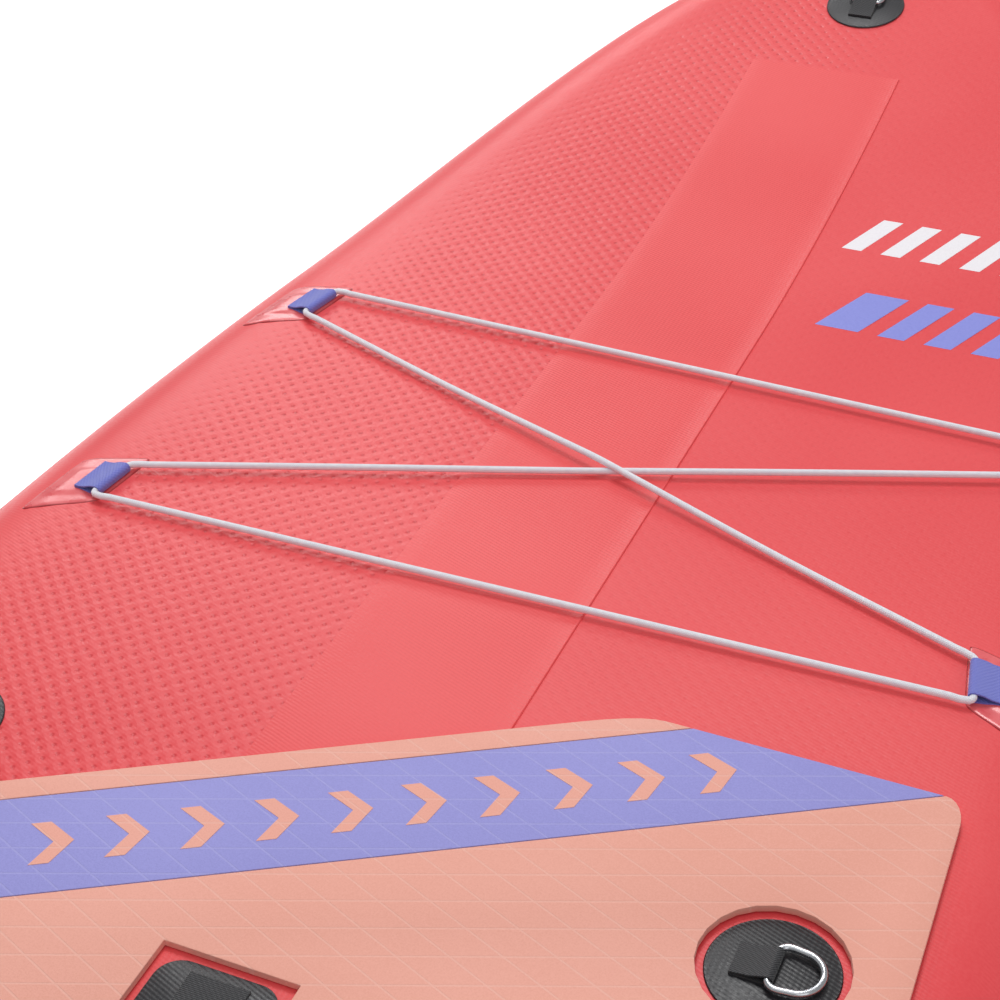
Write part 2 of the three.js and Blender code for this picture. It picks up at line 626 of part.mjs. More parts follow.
// ---- inflation valve ----
const valve = placed(board, VALVE.x, VALVE.y, DECK_Z);
const lathe = (points, sides = 18) => cleaned(new THREE.LatheGeometry(
  points.map(([r, z]) => new THREE.Vector2(r, z)), sides).rotateX(Math.PI / 2));
addPiece('valve_flange', lathe([
  [VALVE.wellRadius + 1, GAP], [33, GAP], [33, 2], [30, 3.4], [VALVE.wellRadius + 1, 3.4],
  [VALVE.wellRadius + 1, GAP]]), GREY_PLASTIC, valve);
addPiece('valve_barrel', lathe([
  [3.2, -40], [12, -40], [20.4, -38], [20.4, 3.4], [17.6, 3.4], [17.6, -35], [3.2, -37],
  [3.2, -40]]), GREY_PLASTIC, valve);
addPiece('valve_plunger', lathe([
  [0, -46], [9, -46], [9, -43.2], [2.6, -42], [2.6, -14], [7.6, -14], [7.6, -20], [9, -20],
  [9, -8], [5, -6.5], [0, -6.5]]), BLACK_PLASTIC, valve);
class Helix extends THREE.Curve {
  constructor(radius, low, high, turns) {
    super();
    Object.assign(this, { radius, low, high, turns });
  }

  getPoint(t, target = new THREE.Vector3()) {
    const angle = 2 * Math.PI * this.turns * t;
    return target.set(this.radius * Math.cos(angle), this.radius * Math.sin(angle),
      this.low + (this.high - this.low) * t);
  }
}
const wireSection = new THREE.Shape();
wireSection.absarc(0, 0, 0.7, 0, Math.PI * 2);
const springWire = new THREE.ExtrudeGeometry(new THREE.Shape(wireSection.getPoints(3)),
  { steps: 40, extrudePath: new Helix(5.2, -34, -18.6, 5), bevelEnabled: false });
addPiece('valve_spring', cleaned(springWire), STEEL, valve);
const capBody = lathe([
  [0, 9], [22, 9], [24, 7], [24, 3.9], [17.2, 3.9], [17.2, -5], [15, -5], [15, 5.5], [0, 5.5]]);
const capBar = boxAt(36, 7, 6, 0, 0, 11);
addPiece('valve_cap', join(capBody, capBar), GREY_PLASTIC, valve);
const tetherRing = lathe([[24.4, 3.9], [27.4, 3.9], [27.4, 5.1], [24.4, 5.1], [24.4, 3.9]]);
const tetherTail = boxAt(8, 22, 1.2, 0, -37, 4.5);
const tetherFoot = rod(6, 4.8, 0, -47, GAP, 16);
addPiece('cap_tether', join(tetherRing, tetherTail, tetherFoot), BLACK_PLASTIC, valve);

// ---- centre fin in its box, and two fixed side fins ----
const FIN = { y: -1180, thick: 7, tabLong: 165, tabDeep: 17, slide: 27 };
const BOX = { baseThick: 3, tall: 22, wide: 34, long: 250, slotWide: 9, slotLong: 222 };
const boxTop = HULL_Z - GAP;
const boxBottom = boxTop - BOX.baseThick - BOX.tall;
const boxShell = join(
  plate(roundedRect(92, 300, 30), boxTop - BOX.baseThick, BOX.baseThick),
  plate(roundedRect(BOX.wide, BOX.long, 12), boxBottom, BOX.tall + 1));
const slot = boxAt(BOX.slotWide, BOX.slotLong, 40, 0, 0, boxBottom);
const channel = boxAt(15, BOX.slotLong, 4.6, 0, 0, boxBottom + 13);
addPiece('fin_box', cut(boxShell, slot, channel).translate(0, FIN.y, 0), BLACK_PLASTIC);

// Fin side view: x is along the board, y is up. The tip is level with the origin.
function finShape(front, rear, top, tipX, tipR) {
  const shape = new THREE.Shape();
  shape.moveTo(front, top);
  shape.quadraticCurveTo(front - 20, top * 0.35, tipX + 6, 0.6);
  shape.absarc(tipX, tipR, tipR, -Math.PI / 2, -Math.PI, true);
  shape.quadraticCurveTo(rear - 6, top * 0.5, rear, top);
  shape.closePath();
  return shape;
}
const sideways = (shape, thick, y, z, curveSegments = 8) =>
  new THREE.ExtrudeGeometry(shape, { depth: thick, bevelEnabled: false, curveSegments })
    .translate(0, 0, -thick / 2).rotateX(Math.PI / 2).rotateZ(Math.PI / 2).translate(0, y, z);
const bladeTop = boxBottom - 0.5;
const blade = sideways(finShape(80, -78, bladeTop, -150, 9), FIN.thick, FIN.y, 0);
const tab = boxAt(FIN.thick + 1, FIN.tabLong, FIN.tabDeep + 1, 0, FIN.y,
  bladeTop + FIN.tabDeep / 2);
const boltY = FIN.y + FIN.tabLong / 2 + 7;
const lug = boxAt(FIN.thick + 1, 18, 5, 0, FIN.y + FIN.tabLong / 2 + 6, boxBottom + 4);
const boltHole = rod(2.4, 60, 0, boltY, boxBottom - 30, 12);
addPiece('centre_fin', cut(join(blade, tab, lug), boltHole), BLACK_PLASTIC);
addPiece('fin_nut_plate',
  cut(boxAt(13.6, 12, 3.4, 0, boltY, boxBottom + 13), boltHole), STEEL);
const boltTop = boxBottom + 17;
addPiece('fin_bolt', cleaned(new THREE.LatheGeometry([
  [0, -3.6], [6, -3.6], [6, -0.4], [2.1, -0.4], [2.1, boltTop - boxBottom], [0, boltTop - boxBottom],
].map(([r, z]) => new THREE.Vector2(r, z)), 12).rotateX(Math.PI / 2)
  .translate(0, boltY, boxBottom)), STEEL);

const SIDE_FIN = { x: 188, y: -1130, tall: 112, base: 3 };
for (const [name, side] of [['left', -1], ['right', 1]]) {
  const foot = plate(roundedRect(46, 150, 22), boxTop - SIDE_FIN.base, SIDE_FIN.base)
    .translate(side * SIDE_FIN.x, SIDE_FIN.y, 0);
  const shape = finShape(56, -52, SIDE_FIN.tall, -80, 6);
  const wing = sideways(shape, 6, SIDE_FIN.y, boxTop - SIDE_FIN.base - SIDE_FIN.tall + 1)
    .translate(side * SIDE_FIN.x, 0, 0);
  addPiece(`side_fin_${name}`, join(foot, wing), BLACK_PLASTIC);
}

export default board;
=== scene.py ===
import math

import bmesh
import bpy
from mathutils import Matrix, Vector
from mathutils.geometry import interpolate_bezier


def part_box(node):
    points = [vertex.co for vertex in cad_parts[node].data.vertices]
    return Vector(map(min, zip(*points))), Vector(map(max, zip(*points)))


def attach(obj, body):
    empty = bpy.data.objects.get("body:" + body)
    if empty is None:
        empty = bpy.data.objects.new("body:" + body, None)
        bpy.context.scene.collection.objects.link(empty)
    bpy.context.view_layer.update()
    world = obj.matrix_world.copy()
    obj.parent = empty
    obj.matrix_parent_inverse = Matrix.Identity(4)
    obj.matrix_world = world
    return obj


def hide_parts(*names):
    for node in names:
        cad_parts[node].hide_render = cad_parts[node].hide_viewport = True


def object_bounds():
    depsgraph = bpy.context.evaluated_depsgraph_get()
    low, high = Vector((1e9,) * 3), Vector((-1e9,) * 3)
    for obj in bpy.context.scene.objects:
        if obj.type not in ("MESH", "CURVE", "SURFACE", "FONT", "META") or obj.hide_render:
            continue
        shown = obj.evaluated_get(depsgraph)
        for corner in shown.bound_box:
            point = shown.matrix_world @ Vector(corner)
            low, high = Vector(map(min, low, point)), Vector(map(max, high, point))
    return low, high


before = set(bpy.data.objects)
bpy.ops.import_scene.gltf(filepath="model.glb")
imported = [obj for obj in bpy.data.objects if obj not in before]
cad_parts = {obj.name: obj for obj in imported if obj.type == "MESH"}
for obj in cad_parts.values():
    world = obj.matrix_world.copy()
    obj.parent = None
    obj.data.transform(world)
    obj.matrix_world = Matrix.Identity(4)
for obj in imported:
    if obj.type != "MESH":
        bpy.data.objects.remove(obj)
cadLow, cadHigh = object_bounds()
scene = bpy.context.scene
scene.view_settings.view_transform = "Standard"
mm = 0.001


# Materials.
def linear(hexColour):
    channels = [int(hexColour[i : i + 2], 16) / 255 for i in (1, 3, 5)]
    return [c / 12.92 if c <= 0.04045 else ((c + 0.055) / 1.055) ** 2.4 for c in channels] + [1.0]


def addNode(tree, kind, settings=None, links=None):
    node = tree.nodes.new(kind)
    for key, value in (settings or {}).items():
        if isinstance(key, int) or key in node.inputs:
            node.inputs[key].default_value = value
        else:
            setattr(node, key, value)
    for key, source in (links or {}).items():
        tree.links.new(source, node.inputs[key])
    return node


def math2(tree, operation, a, b=0.0):
    links = {i: v for i, v in enumerate((a, b)) if isinstance(v, bpy.types.NodeSocket)}
    fixed = {i: v for i, v in enumerate((a, b)) if i not in links}
    return addNode(tree, "ShaderNodeMath", {"operation": operation, **fixed}, links).outputs[0]


def newMaterial(name, shaderValues):
    material = bpy.data.materials.new(name)
    material.use_nodes = True
    tree = material.node_tree
    tree.nodes.clear()
    shader = addNode(tree, "ShaderNodeBsdfPrincipled", shaderValues)
    addNode(tree, "ShaderNodeOutputMaterial", None, {"Surface": shader.outputs[0]})
    return material, tree, shader


def mixed(tree, a, aShare, b, bShare):  # a and b, each by its share
    return math2(tree, "ADD", math2(tree, "MULTIPLY", a, aShare),
                 math2(tree, "MULTIPLY", b, bShare))


def objectPlace(tree):
    return addNode(tree, "ShaderNodeTexCoord").outputs["Object"]


def axes(tree, place):
    return addNode(tree, "ShaderNodeSeparateXYZ", None, {0: place}).outputs


def blendColour(tree, amount, first, second):
    settings = {"data_type": "RGBA"}
    links = {"Factor": amount}
    for index, colour in ((6, first), (7, second)):
        if isinstance(colour, str):
            settings[index] = linear(colour)
        else:
            links[index] = colour
    return addNode(tree, "ShaderNodeMix", settings, links).outputs[2]


def noiseAt(tree, place, size, detail=3.0, roughness=0.5):
    settings = {"Scale": 1 / size, "Detail": detail, "Roughness": roughness}
    return addNode(tree, "ShaderNodeTexNoise", settings, {"Vector": place}).outputs["Fac"]


def smoothStep(tree, value, low, high, toLow=0.0, toHigh=1.0):
    settings = {"interpolation_type": "SMOOTHSTEP", "From Min": low, "From Max": high,
                "To Min": toLow, "To Max": toHigh}
    return addNode(tree, "ShaderNodeMapRange", settings, {"Value": value}).outputs[0]


def ridges(tree, value, period):  # 0 to 1 and back once in each period
    turn = math2(tree, "MULTIPLY", value, 2 * math.pi / period)
    wave = math2(tree, "SINE", turn)
    return math2(tree, "ADD", math2(tree, "MULTIPLY", wave, 0.5), 0.5)


def lineMask(tree, value, period, wide):  # 1 on a thin line in each period, 0 between
    part = math2(tree, "FRACT", math2(tree, "DIVIDE", value, period))
    away = math2(tree, "ABSOLUTE", math2(tree, "SUBTRACT", part, 0.5))
    return smoothStep(tree, away, 0.5 * wide / period, 0.15 * wide / period)


def addBump(tree, shader, height, distance):
    bump = addNode(tree, "ShaderNodeBump", {"Distance": distance}, {"Height": height})
    tree.links.new(bump.outputs[0], shader.inputs["Normal"])


# Coated PVC fabric: soft gloss, a fine line weave pressed through from the base cloth, and on the
# deck small dents where the drop-stitch threads pull the skin in, with painted shade in each dent.
def coatedPvc(look):
    material, tree, shader = newMaterial(look["name"], {
        "IOR": 1.5, "Specular IOR Level": look.get("specular", 0.33)})
    place = objectPlace(tree)
    x, y, _ = axes(tree, place)
    blotch = noiseAt(tree, place, 0.35, 2)
    speckle = noiseAt(tree, place, 2.2 * mm, 2)
    tint = mixed(tree, blotch, 0.75, speckle, 0.25)
    colour = blendColour(tree, smoothStep(tree, tint, 0.3, 0.7), look["low"], look["high"])
    slant = mixed(tree, y, 0.94, x, 0.34)
    weave = ridges(tree, slant, 2.6 * mm)  # real cloth is nearer 1 mm, too fine to show
    cross = ridges(tree, x, 3.4 * mm)
    height = math2(tree, "MULTIPLY", math2(tree, "ADD", weave, math2(tree, "MULTIPLY", cross, 0.5)),
                   look["weave"])
    height = math2(tree, "ADD", height, math2(tree, "MULTIPLY", speckle, look["weave"] * 0.7))
    if look.get("quilt"):
        spacing = look["quilt"]
        turned = addNode(tree, "ShaderNodeMapping",
                         {"Rotation": (0, 0, math.radians(45)), "Scale": (1, 1, 0)},
                         {"Vector": place}).outputs[0]
        wobble = addNode(tree, "ShaderNodeTexVoronoi", {
            "voronoi_dimensions": "2D", "Scale": 1 / spacing, "Randomness": 0.18},
            {"Vector": turned}).outputs["Distance"]
        dent = smoothStep(tree, wobble, 0.03, 0.24)
        pillow = smoothStep(tree, wobble, 0.1, 0.62)
        quilted = mixed(tree, dent, 0.4 * mm, pillow, 0.32 * mm)
        side = smoothStep(tree, x, -60 * mm, 70 * mm, 1.0, 0.16)  # fainter on the right half
        fade = addNode(tree, "ShaderNodeAttribute", {"attribute_name": "quilt"}).outputs["Fac"]
        amount = math2(tree, "MULTIPLY", side, fade)
        height = math2(tree, "ADD", height, math2(tree, "MULTIPLY", quilted, amount))
        # painted shade: the dent bottoms are coloured darker, less on the right half and towards
        # the rail
        shade = math2(tree, "MULTIPLY", math2(tree, "SUBTRACT", 1.0, dent), amount)
        colour = blendColour(tree, math2(tree, "MULTIPLY", shade, 0.5), colour, look["dent"])
    tree.links.new(colour, shader.inputs["Base Color"])
    gloss = smoothStep(tree, speckle, 0.3, 0.7, look["rough"] - 0.05, look["rough"] + 0.06)
    tree.links.new(gloss, shader.inputs["Roughness"])
    addBump(tree, shader, height, 1.0)
    return material


# EVA foam: matt and dry, with elongated diamonds embossed across the board and closed cells.
def evaFoam(look):
    material, tree, shader = newMaterial(look["name"], {"IOR": 1.45, "Sheen Weight": 0.15})
    place = objectPlace(tree)
    x, y, _ = axes(tree, place)
    lean = math.radians(look["lean"])
    period = look["short"] * math.cos(lean)
    lines = []
    for way in (1, -1):
        across = mixed(tree, y, math.cos(lean), x, way * math.sin(lean))
        lines.append(lineMask(tree, across, period, look["groove"]))
    groove = math2(tree, "MAXIMUM", *lines)
    cells = noiseAt(tree, place, 1.1 * mm, 2, 0.6)
    blotch = noiseAt(tree, place, 0.2, 2)
    tint = mixed(tree, cells, 0.6, blotch, 0.4)
    colour = blendColour(tree, smoothStep(tree, tint, 0.35, 0.65), look["low"], look["high"])
    # painted highlight: the grooves are coloured paler, as glints on their edges
    colour = blendColour(tree, math2(tree, "MULTIPLY", groove, 0.22), colour, look["pale"])
    tree.links.new(colour, shader.inputs["Base Color"])
    tree.links.new(smoothStep(tree, cells, 0.3, 0.7, 0.62, 0.8), shader.inputs["Roughness"])
    height = mixed(tree, groove, -0.14 * mm, cells, 0.1 * mm)
    addBump(tree, shader, height, 1.0)
    return material


# Woven webbing: a twill of fine ribs on its own UV map, in metres along and across the strap.
def wovenWebbing(look):
    material, tree, shader = newMaterial(look["name"], {"IOR": 1.5, "Sheen Weight": 0.3})
    u, v, _ = axes(tree, addNode(tree, "ShaderNodeUVMap", {"uv_map": "strap"}).outputs[0])
    ribs = ridges(tree, math2(tree, "ADD", u, v), look["rib"])
    back = ridges(tree, math2(tree, "SUBTRACT", u, v), look["rib"] * 2)
    weave = mixed(tree, ribs, 0.7, back, 0.3)
    edge = smoothStep(tree, math2(tree, "ABSOLUTE", v),
                      look["half"] - 2.2 * mm, look["half"] - 1.2 * mm)
    # painted shade: the troughs between the ribs are coloured darker
    colour = blendColour(tree, weave, look["low"], look["high"])
    colour = blendColour(tree, math2(tree, "MULTIPLY", edge, 0.3), colour, look["low"])
    tree.links.new(colour, shader.inputs["Base Color"])
    tree.links.new(smoothStep(tree, weave, 0.0, 1.0, 0.7, 0.5), shader.inputs["Roughness"])
    addBump(tree, shader, weave, look["deep"])
    return material


# Braided polyester sheath over rubber: crossing strands, on the cord's own UV map.
def braidedSheath(look):
    material, tree, shader = newMaterial(look["name"], {"IOR": 1.5, "Sheen Weight": 0.25})
    u, v, _ = axes(tree, addNode(tree, "ShaderNodeUVMap", {"uv_map": "strap"}).outputs[0])
    one = ridges(tree, math2(tree, "ADD", u, math2(tree, "MULTIPLY", v, 0.8)), look["strand"])
    two = ridges(tree, math2(tree, "SUBTRACT", u, math2(tree, "MULTIPLY", v, 0.8)), look["strand"])
    braid = math2(tree, "MULTIPLY", one, two)
    fleck = noiseAt(tree, objectPlace(tree), 4 * mm, 2)
    tint = mixed(tree, braid, 0.7, fleck, 0.5)
    # painted shade: darker in the crevices between strands, with random flecks
    tree.links.new(blendColour(tree, smoothStep(tree, tint, 0.1, 0.7), look["low"], look["high"]),
                   shader.inputs["Base Color"])
    tree.links.new(smoothStep(tree, braid, 0.0, 1.0, 0.75, 0.55), shader.inputs["Roughness"])
    addBump(tree, shader, braid, look["deep"])
    return material


# Welded clear PVC over coral: glossy, a little paler than the deck, and coloured darker along
# its cut edge as painted shade.
def clearPvc(look):
    material, tree, shader = newMaterial(look["name"], {
        "IOR": 1.53, "Coat Weight": 0.3, "Coat Roughness": 0.18})
    place = objectPlace(tree)
    rim = addNode(tree, "ShaderNodeAttribute", {"attribute_name": "rim"}).outputs["Fac"]
    cloud = noiseAt(tree, place, 14 * mm, 3)
    colour = blendColour(tree, smoothStep(tree, cloud, 0.3, 0.7), look["low"], look["high"])
    # painted shade: a dark rim along the patch's cut edge
    colour = blendColour(tree, rim, colour, look["edge"])
    tree.links.new(colour, shader.inputs["Base Color"])
    tree.links.new(smoothStep(tree, cloud, 0.3, 0.7, 0.24, 0.34), shader.inputs["Roughness"])
    addBump(tree, shader, noiseAt(tree, place, 9 * mm, 2), 0.25 * mm)
    return material


# Moulded plastic: fine spark-eroded grain, slightly shinier where it is handled.
def mouldedPlastic(look):
    material, tree, shader = newMaterial(look["name"], {"IOR": 1.5})
    place = objectPlace(tree)
    grain = noiseAt(tree, place, look["grain"], 3, 0.6)
    worn = noiseAt(tree, place, 40 * mm, 2)
    colour = blendColour(tree, smoothStep(tree, worn, 0.3, 0.7), look["low"], look["high"])
    tree.links.new(colour, shader.inputs["Base Color"])
    tree.links.new(smoothStep(tree, worn, 0.3, 0.7, look["rough"], look["rough"] + 0.12),
                   shader.inputs["Roughness"])
    addBump(tree, shader, grain, look["deep"])
    return material


# Bright stainless steel: polished wire with faint drawing marks.
def stainlessSteel():
    material, tree, shader = newMaterial("stainlessSteel", {"Metallic": 1.0})
    place = objectPlace(tree)
    marks = noiseAt(tree, place, 1.5 * mm, 3, 0.6)
    cloud = noiseAt(tree, place, 25 * mm, 2)
    tree.links.new(blendColour(tree, cloud, "#b9bcc1", "#d6d8dc"), shader.inputs["Base Color"])
    tree.links.new(smoothStep(tree, marks, 0.3, 0.7, 0.16, 0.3), shader.inputs["Roughness"])
    addBump(tree, shader, marks, 0.03 * mm)
    return material


# Screen-printed ink on PVC: it takes the cloth's texture and is a little uneven.
def printedInk(look):
    material, tree, shader = newMaterial(look["name"], {"IOR": 1.5})
    place = objectPlace(tree)
    speckle = noiseAt(tree, place, 2.2 * mm, 2)
    tree.links.new(blendColour(tree, speckle, look["low"], look["high"]),
                   shader.inputs["Base Color"])
    tree.links.new(smoothStep(tree, speckle, 0.3, 0.7, 0.45, 0.55), shader.inputs["Roughness"])
    addBump(tree, shader, speckle, 0.08 * mm)
    return material


threadSpacing = 13.5 * mm  # between the dents, along the rows that run across the board
# the dent colour is painted shade for the quilt dents
deckPvc = coatedPvc({"name": "coralDeckPvc", "low": "#e84b50", "high": "#f05a5d", "dent": "#c5333b",
                     "rough": 0.38, "weave": 0.035 * mm, "quilt": threadSpacing / math.sqrt(2)})
bandPvc = coatedPvc({"name": "coralBandPvc", "low": "#ea4d50", "high": "#f25c5e", "rough": 0.42,
                     "weave": 0.07 * mm})
# painted shade: the rail is the deck's coral, coloured darker for the rounded rail's dimmer side
shadedRailPvc = coatedPvc({"name": "shadedCoralRailPvc", "low": "#c62c33", "high": "#d23a40", "rough": 0.36,
                     "specular": 0.26, "weave": 0.03 * mm})
tapePvc = coatedPvc({"name": "coralTapePvc", "low": "#c42f36", "high": "#cf3b41", "rough": 0.38,
                     "weave": 0.05 * mm})
blackPvc = coatedPvc({"name": "blackPatchPvc", "low": "#1d1c20", "high": "#29282c", "rough": 0.4,
                      "specular": 0.5, "weave": 0.08 * mm})
foamLook = {"lean": 22, "short": 22 * mm, "groove": 1.8 * mm}
lilacFoam = evaFoam({**foamLook, "name": "lilacEvaFoam", "low": "#9391d6", "high": "#9f9de0",
                     "pale": "#c3c1ef"})
peachFoam = evaFoam({**foamLook, "name": "peachEvaFoam", "low": "#eda592", "high": "#f4b09f",
                     "pale": "#fbd3c6"})
lilacWebbing = wovenWebbing({"name": "lilacWebbing", "low": "#5e63c2", "high": "#8086da",
                             "rib": 1.6 * mm, "half": 17.5 * mm, "deep": 0.25 * mm})
blackWebbing = wovenWebbing({"name": "blackWebbing", "low": "#151518", "high": "#2b2b30",
                             "rib": 1.8 * mm, "half": 19 * mm, "deep": 0.3 * mm})
cordSheath = braidedSheath({"name": "whiteCordSheath", "low": "#e2e0ee", "high": "#fdfcff",
                            "strand": 1.6 * mm, "deep": 0.25 * mm})
patchPvc = clearPvc({"name": "clearWeldedPvc", "low": "#e4545a", "high": "#ee6a6e",
                     "edge": "#a8232b"})
blackPlastic = mouldedPlastic({"name": "blackNylon", "low": "#141416", "high": "#222226",
                               "grain": 0.9 * mm, "rough": 0.32, "deep": 0.04 * mm})
greyPlastic = mouldedPlastic({"name": "greyAbs", "low": "#50535a", "high": "#5f626a",
                              "grain": 0.8 * mm, "rough": 0.35, "deep": 0.04 * mm})
steel = stainlessSteel()
whiteInk = printedInk({"name": "whiteInk", "low": "#efeaf0", "high": "#f7f4f8"})
lilacInk = printedInk({"name": "lilacInk", "low": "#8288dc", "high": "#9297e6"})
neoprene = mouldedPlastic({"name": "blackNeoprene", "low": "#17171a", "high": "#222227",
                           "grain": 1.6 * mm, "rough": 0.72, "deep": 0.2 * mm})
print("materials ready")


# Making pieces.
def finishPiece(name, bm, material, rideOn, nodes=(), sharpAngle=35):
    bmesh.ops.recalc_face_normals(bm, faces=bm.faces)
    mesh = bpy.data.meshes.new(name)
    bm.to_mesh(mesh)
    bm.free()
    piece = bpy.data.objects.new(name, mesh)
    scene.collection.objects.link(piece)
    mesh.materials.append(material)
    mesh.shade_smooth()
    mesh.set_sharp_from_angle(angle=math.radians(sharpAngle))
    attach(piece, rideOn)
    if nodes:
        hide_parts(*nodes)
    return piece


def mappedGrid(bm, columns, rows, placeAt):
    # A grid whose corner (i, j) is moved to placeAt(i / columns, j / rows).
    made = bmesh.ops.create_grid(bm, x_segments=columns, y_segments=rows, size=0.5)["verts"]
    for vert in made:
        vert.co = placeAt(round((vert.co.x + 0.5) * columns) / columns,
                          round((vert.co.y + 0.5) * rows) / rows)
    return made


def roundEdges(bm, width, segments=2, minAngle=35):
    edges = [e for e in bm.edges if len(e.link_faces) == 2
             and e.calc_face_angle(0) > math.radians(minAngle)]
    bmesh.ops.bevel(bm, geom=edges, offset=width, offset_type="OFFSET", affect="EDGES",
                    segments=segments, profile=0.5, material=-1, clamp_overlap=True)


def nodeShape(node):  # a merged copy of a CAD node with its flat faces joined
    bm = bmesh.new()
    bm.from_mesh(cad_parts[node].data)
    bmesh.ops.remove_doubles(bm, verts=bm.verts, dist=1e-5)
    bmesh.ops.dissolve_limit(bm, angle_limit=math.radians(0.5), verts=bm.verts, edges=bm.edges)
    return bm


def softenedNode(node, material, rideOn, width, segments=2, minAngle=35):
    bm = nodeShape(node)
    roundEdges(bm, width, segments, minAngle)
    words = node.split("_")
    name = words[0] + "".join(word.capitalize() for word in words[1:])
    return finishPiece(name, bm, material, rideOn, [node], 30)


def smoothPath(points, step, closed=False):
    # A smooth line through the points, sampled about every step.
    count = len(points)
    tangents = []
    for i, point in enumerate(points):
        before = points[(i - 1) % count] if closed or i else point
        after = points[(i + 1) % count] if closed or i < count - 1 else point
        tangents.append(((after - point).normalized() + (point - before).normalized()).normalized())
    path = []
    for i in range(count if closed else count - 1):
        a, b = points[i], points[(i + 1) % count]
        long = (b - a).length
        parts = max(2, round(long / step))
        path += interpolate_bezier(a, a + tangents[i] * long / 3,
                                   b - tangents[(i + 1) % count] * long / 3, b, parts + 1)[:-1]
    return path if closed else path + [points[-1]]


def sweep(bm, path, section, closed=False, sizeAt=None, up=Vector((0, 0, 1))):
    # Extrudes a ring of section points along the path. The ring's place is kept in UV "strap".
    sides = len(section)
    aroundLayer = bm.verts.layers.int.new("around")
    alongLayer = bm.verts.layers.float.new("along")
    count = len(path)

    def frameAt(i):
        before = path[(i - 1) % count] if closed or i else path[0]
        after = path[(i + 1) % count] if closed or i < count - 1 else path[-1]
        along = (after - before).normalized()
        side = along.cross(up).normalized()
        return side, side.cross(along)

    first = [bm.verts.new((0, 0, 0)) for _ in section]
    for k, vert in enumerate(first):
        vert[aroundLayer] = k
    edges = [bm.edges.new((first[k], first[(k + 1) % sides])) for k in range(sides)]
    verts, travelled = first, 0.0
    for i in range(count):
        if i:
            made = bmesh.ops.extrude_edge_only(bm, edges=edges)["geom"]
            verts = vertsOf(made)
            edges = [g for g in made if isinstance(g, bmesh.types.BMEdge)
                     and g.verts[0] in verts and g.verts[1] in verts]
            travelled += (path[i] - path[i - 1]).length
        side, top = frameAt(i)
        size = sizeAt(i / (count - 1)) if sizeAt else 1
        for vert in verts:
            across, rise = section[vert[aroundLayer]]
            vert.co = path[i] + side * across * size + top * rise * size
            vert[alongLayer] = travelled
    if closed:
        bmesh.ops.bridge_loops(bm, edges=edges + [e for e in bm.edges if e.is_boundary
                                                  and e not in edges])
    else:
        bmesh.ops.holes_fill(bm, edges=[e for e in bm.edges if e.is_boundary], sides=0)
    uv = bm.loops.layers.uv.new("strap")
    girth = sum((Vector(section[k]) - Vector(section[k - 1])).length for k in range(sides))
    for face in bm.faces:
        places = [loop.vert[aroundLayer] for loop in face.loops]
        wraps = max(places) - min(places) > sides / 2
        for loop, place in zip(face.loops, places):
            place += sides if wraps and place < sides / 2 else 0
            loop[uv].uv = (loop.vert[alongLayer], place / sides * girth)


def circleSection(radius, sides):
    return [(radius * math.cos(2 * math.pi * k / sides), radius * math.sin(2 * math.pi * k / sides))
            for k in range(sides)]


def keyOf(point):
    return tuple(round(value, 6) for value in point)


def vertsOf(geom):
    return [item for item in geom if isinstance(item, bmesh.types.BMVert)]


def ribbonSheet(bm, path, wide, thick, columns=6):
    # A strap: a grid bent along a path in the X-Z plane, width along Y, with its UV in metres.
    lengths = [0.0]
    for a, b in zip(path, path[1:]):
        lengths.append(lengths[-1] + (b - a).length)
    last = len(path) - 1
    flat = {}

    def place(s, t):
        i = round(s * last)
        point = Vector((path[i].x, (t - 0.5) * wide, path[i].y))
        flat[keyOf(point)] = (lengths[i], (t - 0.5) * wide)
        return point

    mappedGrid(bm, last, columns, place)
    uv = bm.loops.layers.uv.new("strap")
    for face in bm.faces:
        for loop in face.loops:
            loop[uv].uv = flat[keyOf(loop.vert.co)]
    bmesh.ops.solidify(bm, geom=bm.faces[:], thickness=thick)
    roundEdges(bm, min(thick * 0.3, 0.35 * mm), 1, 60)


def shift(bm, matrix):
    bmesh.ops.transform(bm, matrix=matrix, verts=bm.verts)


def flatArc(cx, cz, radius, start, stop, steps):
    return [Vector((cx + radius * math.cos(start + (stop - start) * i / steps),
                    cz + radius * math.sin(start + (stop - start) * i / steps)))
            for i in range(steps + 1)]


def spun(bm, profile, steps=48):
    # Turns an open or closed line of (radius, height) points round the Z axis.
    verts = [bm.verts.new((r, 0, z)) for r, z in profile]
    edges = [bm.edges.new(pair) for pair in zip(verts, verts[1:])]
    bmesh.ops.spin(bm, geom=verts + edges, cent=(0, 0, 0), axis=(0, 0, 1), dvec=(0, 0, 0),
                   angle=2 * math.pi, steps=steps, use_merge=True)
    bmesh.ops.remove_doubles(bm, verts=bm.verts, dist=1e-6)


# The inflated body.
body = {
    "flatHalf": 357 * mm, "flatTip": 1525 * mm, "railRadius": 75 * mm, "middle": 290 * mm,
    "noseRise": 110 * mm, "riseStart": 900 * mm, "risePower": 1.8,
    "nosePower": 2.2, "tailPower": 2.7, "skin": 1.2 * mm,
    "deckWrap": math.radians(52),  # how far the deck's fabric runs over the rail
    "rows": 170, "columns": 48,
}
noseEnd = body["flatTip"] + body["railRadius"]
deckZ = body["middle"] + body["railRadius"]


def rocker(y):
    rise = max(0.0, y - body["riseStart"]) / (noseEnd - body["riseStart"])
    return body["noseRise"] * rise ** body["risePower"]


